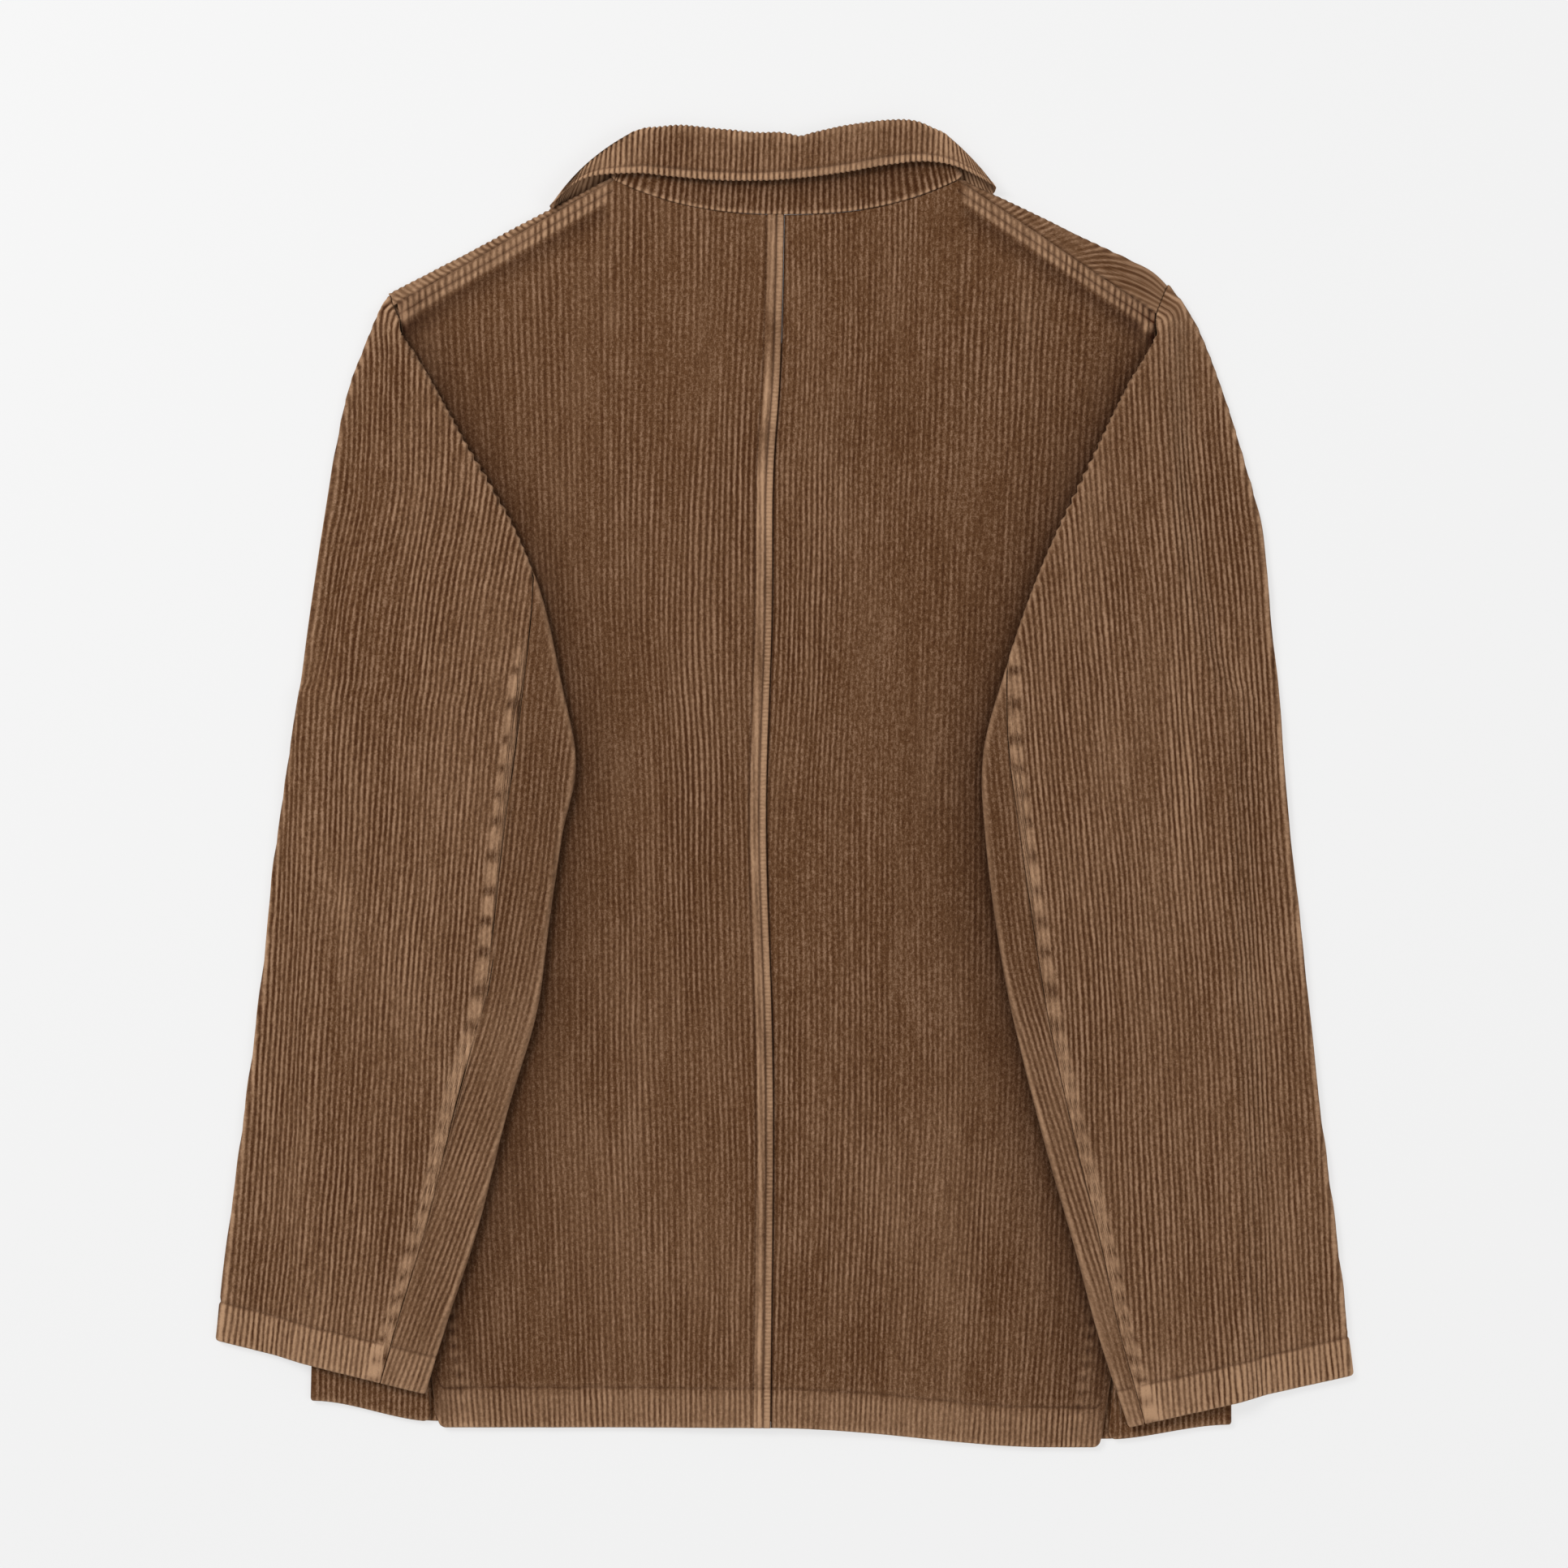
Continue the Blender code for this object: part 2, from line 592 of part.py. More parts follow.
# ---- the collar
def collar_row(t):
    table = np.array(COLLAR, float)
    index = np.arange(len(table))
    values = [float(collar_curve(t, index, table[:, c])) for c in range(table.shape[1])]
    row = dict(zip(COLLAR_COLUMNS, values))
    row["turn"] = math.radians(float(np.interp(t, index, table[:, 5])))
    return row


def collar_curve(t, index, column):
    """Smooth along each stretch, and straight across the rows where it turns over."""
    for turn in (LEFT_TURN, RIGHT_TURN):
        if turn <= t <= turn + 1:
            return column[turn] + (t - turn) * (column[turn + 1] - column[turn])
    if t < LEFT_TURN:
        part = index <= LEFT_TURN
    elif t < RIGHT_TURN:
        part = (index > LEFT_TURN) & (index <= RIGHT_TURN)
    else:
        part = index > RIGHT_TURN
    return along(t, list(zip(index[part], column[part])))


def neck_y(x, turn):
    share = min(abs(x - NECK_X) / NECK_HALF, 1.0)
    back = NECK_Y - BACK_NECK_DROP * (1 - share**2.4)
    front = NECK_Y - FRONT_NECK_DROP * math.sqrt(1 - share**2)
    top = (1 + math.cos(turn)) / 2
    return front + (back - front) * top


def stand_height(x, y, turn):
    """The stand's inside face continues the back's, or the front's where it turns under."""
    low = WALL + float(front_lift(x, y))
    if x > 0:
        low += float(overlap_lift(x, y))
    high = float(back_inside(x, y))
    return (low + high) / 2 + (high - low) / 2 * math.cos(turn)


def leaf_frame(row):
    fold = np.array([row["fold_x"], row["fold_y"]])
    edge = np.array([row["edge_x"], row["edge_y"]])
    run = (edge - fold) / np.linalg.norm(edge - fold)
    out = np.array([-run[1], run[0]])
    out = out if out[0] * fold[0] > 0 else -out
    top = (1 + math.cos(row["turn"])) / 2
    roll = LEAF_ROLL_FRONT + (LEAF_ROLL - LEAF_ROLL_FRONT) * top
    return fold, edge, run, out, roll


def collar_stand():
    rows = []
    for t in COLLAR_ROWS:
        row = collar_row(t)
        turn = row["turn"]
        fold, _, run, _, roll = leaf_frame(row)
        to_turn = min(abs(t - LEFT_TURN - 0.5), abs(t - RIGHT_TURN - 0.5))
        clear = SEAM + STAND_CLEAR * float(ease(2.2 - to_turn))
        top = fold + run * (roll + WALL + clear)
        neck_x = NECK_X + np.clip(row["neck_x"] - NECK_X, -NECK_HALF, NECK_HALF)
        neck = np.array([neck_x, neck_y(neck_x, turn)])
        up = (top - neck) / np.linalg.norm(top - neck)
        neck = neck + up * SEAM * (0.9 + 2.5 * math.sin(turn / 2))
        neck[1] += (WALL + ROLL + 2 * SEAM) * math.sqrt(abs(math.sin(turn)))
        aside = np.array([math.copysign(math.sin(turn), fold[0]), 0.0])
        places = [neck + (top - neck) * share + aside * ROLL for share in np.linspace(0, 1, 5)]
        line = [(x, y, stand_height(x, y, turn)) for x, y in places]
        rows.append((line, [(aside[0], 0.0, math.cos(turn))] * len(line)))
    return [stacked(rows)]


def collar_leaf():
    rows = []
    for t in COLLAR_ROWS:
        row = collar_row(t)
        turn = row["turn"]
        fold, edge, run, out, roll = leaf_frame(row)
        length = np.linalg.norm(edge - fold)
        profile = []
        for angle in math.pi * np.array(LEAF_TURN_STEPS):
            depth = -roll * (1 + math.cos(angle))
            profile.append((roll + WALL - roll * math.sin(angle), depth, -math.sin(angle), -math.cos(angle)))
        for share in LEAF_FLAT_STEPS:
            profile.append((roll + WALL + share * (length - roll - WALL), 0.0, 0.0, 1.0))
        points, directions = [], []
        for ahead, depth, lean_back, lean_out in profile:
            spot = fold + run * ahead
            low, high = WALL, float(back_inside(*spot)) + WALL + 2 * LEAF_ROLL
            lifted = LEAF_EDGE_LIFT * max(math.cos(turn), 0) * float(ease((ahead / length - 0.4) / 0.6))
            z = (low + high) / 2 + ((high - low) / 2 + depth) * math.cos(turn) + lifted
            bulge = LEAF_TURN_FOLD + (LEAF_TURN_EDGE - LEAF_TURN_FOLD) * ahead / length
            spot = spot + out * (bulge + depth) * math.sin(turn)
            points.append((spot[0], spot[1], z))
            plan = run * lean_back + out * lean_out * math.sin(turn)
            directions.append((plan[0], plan[1], lean_out * math.cos(turn)))
        rows.append((points, directions))
    return [stacked(rows)]


# ---- rows and columns of the grids
OUTER_FOLD_STEPS = (-2.0, -1.0, 0.0, 1.0, 2.0)  # along the cloth from the middle of the fold
CREASE_STEPS = (-3.2, -1.6, 0.0, 1.6, 3.2)
BACK_ROWS = 18
FRONT_ROWS = np.concatenate([np.linspace(0, 0.72, 8), np.linspace(0.79, 1, 7)])
COLLAR_ROWS = np.concatenate(
    [[0, 1, 2, 3, 4, 4.5], LEFT_TURN + np.linspace(0, 1, 8), [6.5], np.arange(7, 17, 1.0)]
    + [[16.5], RIGHT_TURN + np.linspace(0, 1, 8), [18.5, 19, 20, 21, 22, 23]]
)
LEAF_TURN_STEPS = (0, 0.2, 0.4, 0.6, 0.8)
LEAF_FLAT_STEPS = (0, 0.2, 0.45, 0.7, 0.88, 1.0)


# ---- solids
def cloth_material(name):
    material = bpy.data.materials.new(name)
    material.use_nodes = True
    shader = material.node_tree.nodes["Principled BSDF"]
    shader.inputs["Base Color"].default_value = CORDUROY
    shader.inputs["Roughness"].default_value = CORDUROY_ROUGH
    shader.inputs["Metallic"].default_value = 0.0
    return material


def grid_into(mesh, points, directions):
    """Adds a grid of faces on the rows and columns of points, each knowing its outer point."""
    outer = mesh.verts.layers.float_vector["outer"]
    rows, columns = points.shape[:2]
    made = bmesh.ops.create_grid(mesh, x_segments=columns - 1, y_segments=rows - 1, size=1.0)
    for vertex in made["verts"]:
        column = round((vertex.co.x + 1) / 2 * (columns - 1))
        row = round((vertex.co.y + 1) / 2 * (rows - 1))
        inner = points[row, column]
        vertex.co = inner * MM
        vertex[outer] = (inner + WALL * directions[row, column]) * MM


def cloth_piece(name, patches):
    """Joins the patches where they share points and extrudes the cloth to its outer points."""
    mesh = bmesh.new()
    outer = mesh.verts.layers.float_vector.new("outer")
    for points, directions in patches:
        grid_into(mesh, points, directions)
    bmesh.ops.remove_doubles(mesh, verts=mesh.verts, dist=1e-6)
    grown = bmesh.ops.extrude_face_region(mesh, geom=mesh.faces, use_keep_orig=True)
    for vertex in grown["geom"]:
        if isinstance(vertex, bmesh.types.BMVert):
            vertex.co = vertex[outer]
    bmesh.ops.recalc_face_normals(mesh, faces=mesh.faces)
    data = bpy.data.meshes.new(name)
    mesh.to_mesh(data)
    mesh.free()
    data.shade_smooth()
    data.set_sharp_from_angle(angle=math.radians(50))
    piece = bpy.data.objects.new(name, data)
    data.materials.append(cloth_material(name))
    bpy.context.collection.objects.link(piece)
    return piece


def main():
    for leftover in list(bpy.data.objects):
        bpy.data.objects.remove(leftover, do_unlink=True)
    for name, side in SIDES.items():
        cloth_piece(f"back_{name}", back_panel(side))
        cloth_piece(f"front_{name}", front_panel(side))
        cloth_piece(f"top_sleeve_{name}", top_sleeve(name))
        cloth_piece(f"under_sleeve_{name}", under_sleeve(name))
    cloth_piece("collar_stand", collar_stand())
    cloth_piece("collar_leaf", collar_leaf())


main()
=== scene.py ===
"""A corduroy jacket laid face down. Shapes are worked out in mm, and meshes made in metres.

X runs to the wearer's right, Y from the hem to the collar, Z up from the surface it lies on.
Each cut piece is a thin shell. Its hidden face lies where its solid's does, and its outer face
carries the wales, hems, seams and soft folds. On the body, u is the distance along the cloth from
the centre-back seam.
"""

import math
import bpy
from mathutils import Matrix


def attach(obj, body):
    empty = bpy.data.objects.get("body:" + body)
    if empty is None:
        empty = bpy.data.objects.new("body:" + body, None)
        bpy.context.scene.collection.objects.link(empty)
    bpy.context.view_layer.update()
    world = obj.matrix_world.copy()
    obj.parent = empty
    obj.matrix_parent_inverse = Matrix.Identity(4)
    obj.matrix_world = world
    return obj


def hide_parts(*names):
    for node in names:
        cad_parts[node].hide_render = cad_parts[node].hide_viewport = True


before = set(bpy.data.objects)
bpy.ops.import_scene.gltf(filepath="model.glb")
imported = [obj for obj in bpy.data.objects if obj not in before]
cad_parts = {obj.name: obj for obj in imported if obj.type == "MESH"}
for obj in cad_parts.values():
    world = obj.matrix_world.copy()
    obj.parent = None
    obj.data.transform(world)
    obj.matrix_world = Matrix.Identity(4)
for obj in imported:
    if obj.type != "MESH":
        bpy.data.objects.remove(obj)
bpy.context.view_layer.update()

from types import SimpleNamespace

import bmesh
import bpy
import numpy as np

# ---- sizes shared with the solids
MM = 0.001
WALL = 1.8  # corduroy with its pile
SEAM = 0.06  # what shows of the gap between two sewn edges
LAY = 0.4  # between plies that lie on each other
ROLL = 0.8  # inner radius where the body turns at the sides and shoulders
SLEEVE_ROLL_OUT = 1.2  # inner radius along the sleeve's outer fold
SLEEVE_ROLL_IN = 1.9  # inner radius along the crease that lies on the back
LEAF_ROLL, LEAF_ROLL_FRONT = 1.5, 0.35  # inner radius where the collar turns over, back and front

HALF_HEM = 277.0  # body laid flat, from the centre-back seam to the side
SIDE_SEAM_HEM, SIDE_SEAM_ARM = 202.0, 262.0  # how far out the side seam lies at both its ends
HEM_Y, ARM_Y = -386.0, 54.0
SHOULDER = 227.0  # centre-back seam to the shoulder point
NECK_HALF, NECK_X, NECK_Y = 103.5, 1.0, 363.0
BACK_NECK_DROP, FRONT_NECK_DROP = 21.0, 98.0
OVERLAP, OVERLAP_RAMP = 19.0, 15.0  # each front runs this far past the centre
VENT_Y, VENT_GAP = -330.0, 1.6  # below this height the side seams stay open
BAND_WIDE, BAND_HIGH = 10.0, 0.7  # felled band beside the centre-back seam
LEAF_LIFT = 2.5  # the collar's front half lies below the fronts and lifts them
LEAF_REACH = (148.0, 137.0)
STAND_CLEAR = 3.0
LEAF_EDGE_LIFT = 1.2
LEAF_TURN = 0.6  # the leaf's bulge where it turns under at the neck's sides

# ---- sizes of the cloth and the sewing
WALE = 3.3  # from one groove to the next
PILE = 0.7  # how far the ridges stand above the grooves
RIDGE_SHARPNESS = 3.0
FINE = 0.84  # from one column of the cloth's grid to the next
COLUMN_SHARES = (0.0, 0.22, 0.5, 0.78)  # where a wale's columns lie across it
HEM_DEEP, CUFF_DEEP = 24.0, 23.0  # turned up inside
TURN_THICK = 0.35  # how much a turned hem or an allowance stands up
SHOULDER_STITCH = 5.6  # one row this far below the shoulder seam
SHOULDER_DEEP = 10.6  # and the allowance inside ends here
EDGE_ROUND = 1.6  # sewn edges roll down over this width
STITCH = 3.0  # length of a topstitch with its gap
BAND_STITCH = 4.7  # the centre-back topstitching lies this far from the seam
TICK = 2.4  # between the ribs beside it
CORNER = 5.0  # radius of the hem's corners at the vents
FACING = 17.0  # the vent's facing is stitched this far from its edge
PUCKER = 8.6  # from one pucker of the facing to the next
MID_FOREARM = -150.0
ELBOW_PUCKERS = (19.0, 12.5)  # from one pucker of the elbow seam to the next, above it and below
FAR = 99.0  # stands for a distance at which a seam or an edge does nothing

SIDES = {
    "left": SimpleNamespace(
        sign=-1.0,
        shoulder=((-147.0, 342.5), (-235.0, 297.0)),
        seam_end=(-234.0, 288.3),
        back_lean=8.0,
        front_lean=12.0,
        hem_drop=0.0,
        strip_slant=57.0,
        strip_swing=8.0,
        strip_more=1.2,
        strip_wear=0.36,
        strip_crisp=0.85,
        tip_round=0.8,
        tip=(-234.5, 283.8),
        arm_mark=7.62,
        shade=0.16,
        bow=4.2,  # of the collar leaf's end, outward
    ),
    "right": SimpleNamespace(
        sign=1.0,
        shoulder=((131.8, 352.3), (217.3, 311.7)),
        seam_end=(222.4, 284.0),
        back_lean=-1.0,
        front_lean=8.0,
        hem_drop=12.0,
        strip_slant=49.0,
        strip_swing=80.0,
        strip_more=1.6,
        strip_wear=0.06,
        strip_crisp=0.5,
        tip_round=3.0,
        tip=(222.7, 278.5),
        arm_mark=7.35,
        shade=0.24,
        bow=1.4,
    ),
}

CENTRE = [  # height, x of the centre-back seam
    (-390, -8), (-164, -6.6), (-17, -10.5), (102, -7), (198, -5.6),
    (237, -2.7), (294, -0.7), (342, 0.2), (400, 1),
]
TAPER = [(-390, 1), (54, 0.982), (290, 0.99), (400, 1)]  # height, share of the hem's width
ARMHOLE = [  # height, distance from the centre-back seam
    (54, 277), (60, 266), (80, 253), (120, 243), (170, 236), (210, 232), (256, 228.5), (290, 227),
]
LEAN_Y = (256.0, 294.0)  # between these heights the body's edge leans out to the shoulder point

SLEEVES = {  # x and y of the outer fold and of the crease, then elbow seam and front seam from them
    "left": [
        (-342, -334.5, -214.5, -366, 27.7, 30),
        (-337, -286, -200.5, -320, 28.6, 30),
        (-330.5, -237, -183.5, -268.5, 30, 29),
        (-320.5, -163.5, -165, -196, 31, 27),
        (-313, -102.5, -147.5, -136.5, 32, 21),
        (-307.5, -48.5, -139.5, -78, 33, 16),
        (-302, -9.5, -132, -29, 35, 12),
        (-296, 29.5, -124, 12.5, 37, 9),
        (-290, 71, -133, 61.5, 22, 14),
        (-284, 112.5, -144.5, 112.5, 5.5, 28),
        (-277.5, 154.5, -163, 159, -12, 60),
        (-270, 203, -192, 209.5, -26, 60),
        (-262, 238.5, -210.5, 242.5, -60, 60),
        (-253, 262, -222.5, 262, -60, 60),
        (-244.5, 282.5, -229.5, 276.5, -60, 60),
        (-240, 291.5, -234.8, 287.6, -60, 60),
        (-238.2, 294.2, -236.4, 292.8, -60, 60),
    ],
    "right": [
        (342.5, -355.5, 206, -386, 10, 30),
        (337, -305.5, 187.5, -330, 13, 30),
        (330, -249, 174.5, -281, 15.5, 29),
        (321, -178, 155.5, -215, 18, 28),
        (313.5, -105, 137.5, -144, 20.5, 27),
        (308.5, -61, 127, -88, 22, 25),
        (303.5, -9.5, 119.5, -26.5, 20.5, 22),
        (299, 42, 119, 20, 15, 18),
        (295, 86, 131.5, 66.5, 1.5, 20),
        (290.5, 130, 145, 108.5, -10, 32),
        (287, 159, 162.5, 152, -18, 70),
        (276, 198.5, 187.5, 204.5, -30, 70),
        (265.5, 232.5, 205, 240, -60, 70),
        (251.5, 270, 218.5, 262, -60, 70),
        (239.5, 291, 222, 272.5, -60, 70),
        (235.5, 296.2, 224.4, 284.6, -60, 70),
        (231.4, 301, 229.6, 298.4, -60, 70),
    ],
}
SLEEVE_MARKS = np.concatenate([np.linspace(0, 12, 97), np.linspace(12.1, 16, 40)])

COLLAR = [  # x at the neck, x and y where it turns over, x and y of its edge, degrees turned under
    (-14, -10, 293, -48, 236, 180),
    (-50, -45, 302, -82, 247, 180),
    (-80, -72, 322, -110, 270, 180),
    (-96, -86, 350, -128, 302, 180),
    (-101, -91, 372, -137, 327, 180),
    (-102.5, -91, 387, -138.9, 344.2, 180),
    (-102.5, -90.4, 388.2, -138.9, 344.2, 0),
    (-98.5, -84.5, 393.2, -121, 362.3, 0),
    (-88, -76, 394.4, -91, 366, 0),
    (-67, -61.5, 395.5, -67, 364, 0),
    (-43, -39.5, 393.5, -43, 362, 0),
    (-18, -15, 391, -16.5, 361.5, 0),
    (8, 9.5, 390, 9.5, 363, 0),
    (35, 34, 395, 36.5, 366.5, 0),
    (60, 58.5, 398.5, 62, 371, 0),
    (84, 76, 398.6, 85.5, 373, 0),
    (97.5, 87.5, 394.6, 106.5, 368.8, 0),
    (104.5, 94.7, 388.4, 126, 355.6, 0),
    (104.5, 95, 387, 126, 355.6, 180),
    (103, 92.5, 373, 128, 332, 180),
    (98, 88, 350, 122, 305, 180),
    (82, 74, 322, 106, 272, 180),
    (52, 46, 302, 80, 248, 180),
    (16, 10, 293, 46, 236, 180),
]
LEFT_TURN, RIGHT_TURN = 5, 17  # the rows from which it turns under at the neck's sides
COLLAR_RIPPLES = ((-3.0, 8.0, 1.3), (9.5, 4.5, -0.9))  # place, width and rise along the top fold

# ---- guiding wales: where each crosses WALES_FROM, then how it leans to the right at these heights
WALES_FROM = -60.0
UNDER_LEFT = ((-370, 20), (-225, 19.5), (-155, 17), (-120, 11), (-85, 8.5), (20, 5), (60, 5))
UNDER_RIGHT = ((-400, -15), (-225, -16), (-130, -14.3), (-85, -6.5), (-50, -5.5), (60, -5))
GUIDES = {
    "back_left": [
        (-178, ((-390, -4), (-300, -2.3), (-222, -2), (-150, 0), (52, -3.2), (130, -5), (208, -4),
                (286, -2.5))),
        (-104, ((-390, -1.5), (-300, -1.7), (-222, -1.7), (-105, 0), (-27, -2.6), (52, -1.7),
                (91, -2.3), (150, 0))),
        (-54, ((-390, -0.6), (-300, 1.2), (-222, -2), (-105, -1.1), (12, -1.7), (52, -4.2),
               (100, 0), (340, 0.5))),
        (-10, ((-390, 0), (-183, -0.6), (-66, -2.2), (12, 0), (80, 0.6), (169, 0.2), (208, 2.3),
               (247, 3.2), (330, 1.5))),
    ],
    "back_right": [
        (10, ((-390, 1.7), (-222, 1.1), (-66, 0), (12, 3.4), (91, 1.7), (169, 0.2), (208, 2.3),
              (247, 1.7), (330, -1))),
        (83, ((-390, 2.3), (-300, 2.8), (-222, 2.3), (-144, -0.3), (-66, -0.4), (60, 1.4),
              (169, 1.7), (300, 1.4))),
        (165, ((-390, 4), (-300, 2.8), (-222, 2.4), (-100, 1), (60, 3), (130, 4.5), (208, 3),
               (286, 3.6))),
    ],
    "top_sleeve_left": [
        (-300, ((-370, 4.6), (-300, 6), (-225, 3.5), (-120, 4), (20, 2.6), (91, 6), (161, 10),
                (196, 3), (250, 0))),
        (-180, ((-370, 8), (-300, 7), (-225, 2.6), (-155, 1.7), (-85, 5), (20, 5.5), (91, 7),
                (161, 9), (196, 1), (250, 1))),
    ],
    "top_sleeve_right": [
        (180, ((-400, -5), (-300, -3), (-155, -2), (-50, -5.4), (20, -5), (91, -4.6), (161, -5),
               (232, 0))),
        (300, ((-400, -4.5), (-300, -3), (-225, -2.6), (-120, -4.3), (20, -3.5), (91, -3.4),
               (150, -5.7), (232, -3.4), (290, 0))),
    ],
    "under_sleeve_left": [(-140, UNDER_LEFT), (-110, UNDER_LEFT)],
    "under_sleeve_right": [(110, UNDER_RIGHT), (140, UNDER_RIGHT)],
}

FOLDS = {  # soft folds: x and y of the middle, lean to the right, length, width and height
    "back": [
        (-48, 110, -4, 90, 9, 1.3),
        (-30, 40, -3, 80, 8, 1.1),
        (-66, -10, 3, 110, 12, 0.9),
        (14, 120, 2, 70, 9, 1.0),
        (-14, -190, 1, 90, 10, 0.9),
        (60, -60, 5, 120, 14, 1.0),
        (-95, -250, 0, 80, 16, 1.1),
        (95, -270, -6, 90, 18, 1.2),
        (70, 230, -20, 60, 16, 0.8),
        (-90, 220, 14, 60, 16, 0.8),
        (-206.6, 267.5, 18, 17, 3, 0.9),
    ],
    "top_sleeve_left": [
        (-226, 162, 60, 34, 6, 1.4),
        (-262, -60, -4, 80, 8, 1.3),
        (-232, -110, -9, 60, 8, 1.2),
        (-285, -230, 3, 90, 12, 1.0),
        (-205, 20, 10, 50, 10, 0.9),
    ],
    "top_sleeve_right": [
        (232, 140, -3, 90, 9, 1.3),
        (254, 60, -5, 80, 8, 1.0),
        (206, 40, 4, 60, 10, 0.9),
        (262, -120, -6, 90, 12, 1.0),
        (285, -240, -4, 80, 14, 1.0),
    ],
}
STREAKS = [  # rubbed or kept places: x, y, width, length, wear, and how much more the wales stand
    (-262, -78, 6, 34, 0.22, 0.3),
    (-223, -103, 10, 44, 0.16, 0.5),
    (240, 35, 8, 110, 0.16, 0.3),
    (-103, 283, 6, 10, 0.25, 0),
    (146, 283, 6, 10, 0.25, 0),
    (-49, 75, 19, 82, 0.08, 0.75),
    (-25, 180, 9, 62, 0.06, 0.7),
    (18, 120, 15, 90, 0.04, 0.5),
    (-60, -60, 16, 90, 0.03, 0.35),
    (-90, -260, 60, 90, 0.12, 0.1),
    (90, -270, 60, 90, 0.18, 0.1),
    (-250, 130, 30, 90, -0.16, -0.1),
    (255, 160, 26, 80, -0.05, 0),
    (-70, 250, 60, 60, -0.05, -0.2),
    (90, 190, 60, 90, -0.05, -0.15),
    (217.8, 274, 2.4, 3.6, 0.9, 0.3),
    (-228.6, 281.5, 3, 5, 0.5, 0),
    (285, -240, 50, 100, 0.05, -0.2),
    (-87, 390, 6, 6, 0.45, 0.2),
    (-28, 388, 5, 6, 0.45, 0.1),
    (95, 390, 6, 8, 0.35, 0.2),
    (60, 20, 50, 60, -0.03, -0.15),
]

# ---- rows of the grids, as distances in from a piece's low and high ends
HEM_ROWS = (0, 0.7, 1.6, 4, 8, 13, 18, 22.5, 23.4, 24.2, 25, 27, 30)
CUFF_ROWS = (0, 0.7, 1.6, 4, 8, 13, 18, 21.5, 22.4, 23.2, 24, 26, 29)
SHOULDER_ROWS = (17, 15, 13.6, 12.6, 11.8, 10.6, 9, 7.4, 6.4, 5.4, 3.8, 2, 0.8, 0)
ARM_ROWS = (12, 8, 5, 2.6, 1.3, 0.5, 0)
# ---- columns beside the centre-back seam, the sleeve's outer fold and its crease
SEAM_COLUMNS = (0.8, 4.2, 4.7, 5.2, 9.3, 9.9, 10.5)
OUTER_BEND = (-2.0, -1.4, -0.8, 0.0, 0.8, 1.4, 2.0)
CREASE_BEND = (-3.0, -2.2, -1.4, -0.6, 0.2, 1.0, 1.8, 2.6, 3.4)
# ---- a collar's rows across the stand, round its roll and in from its edge
STAND_SHARES = np.array([0, 0.02, 0.045, 0.07, 0.1, 0.15, 0.2, 0.4, 0.6, 0.8, 0.94, 1])
ROLL_SHARES = np.array([0, 0.12, 0.24, 0.36, 0.48, 0.6, 0.72, 0.84, 0.93])
LEAF_EDGE_ROWS = np.array([0, 0.7, 1.6, 3, 4.2, 4.9, 5.6, 7, 10])
LEAF_STITCH = 4.9
# ---- how many rows or columns a stretch gets between those above
OVER_SHOULDER, FRONT_ROWS = 170, 14
TOP_SLEEVE_ROWS, UNDER_SLEEVE_ROWS, HIDDEN_ROWS = 135, 76, 14
LEAF_COLUMNS, LEAF_ROWS = 420, 38


# ---- curves and helpers
def ease(t):
    """0 to 1 with level ends."""
    t = np.clip(t, 0.0, 1.0)
    return t * t * (3 - 2 * t)


def hump(distance, width):
    """1 on a line, falling away to both sides of it."""
    return np.exp(-((distance / width) ** 2))


def along(at, rows):
    """A smooth curve through (place, value) rows."""
    places, values = np.array(rows, float).T
    slopes = np.gradient(values, places)
    at = np.clip(at, places[0], places[-1])
    i = np.clip(np.searchsorted(places, at) - 1, 0, len(places) - 2)
    span = places[i + 1] - places[i]
    t = (at - places[i]) / span
    start = (1 + 2 * t) * (1 - t) ** 2 * values[i] + t * (1 - t) ** 2 * span * slopes[i]
    end = t * t * (3 - 2 * t) * values[i + 1] + t * t * (t - 1) * span * slopes[i + 1]
    return start + end


def together(*parts):
    """Coordinates side by side, as points or directions."""
    return np.stack(np.broadcast_arrays(*parts), axis=-1).astype(float)


def heading(near, far):
    """The unit direction from one point to another, and how far it is."""
    step = np.subtract(far, near)
    length = np.linalg.norm(step)
    return step / length, length


def lengths(points):
    """The length along a line of points, up to each of them."""
    steps = np.linalg.norm(np.diff(points, axis=0), axis=-1)
    return np.concatenate([0 * steps[:1], np.cumsum(steps, axis=0)])


def uneven(x, y, wide, long, seed):
    """Smooth chance values from -1 to 1 that change over about `wide` by `long` mm."""
    chance = np.random.RandomState(seed).uniform(-1, 1, (128, 128))
    across, ahead = x / wide + 64, y / long + 64
    i, j = np.floor(across).astype(int), np.floor(ahead).astype(int)
    a, b = ease(across - i), ease(ahead - j)
    i, j = i % 127, j % 127
    low = chance[i, j] * (1 - a) + chance[i + 1, j] * a
    high = chance[i, j + 1] * (1 - a) + chance[i + 1, j + 1] * a
    return low * (1 - b) + high * b


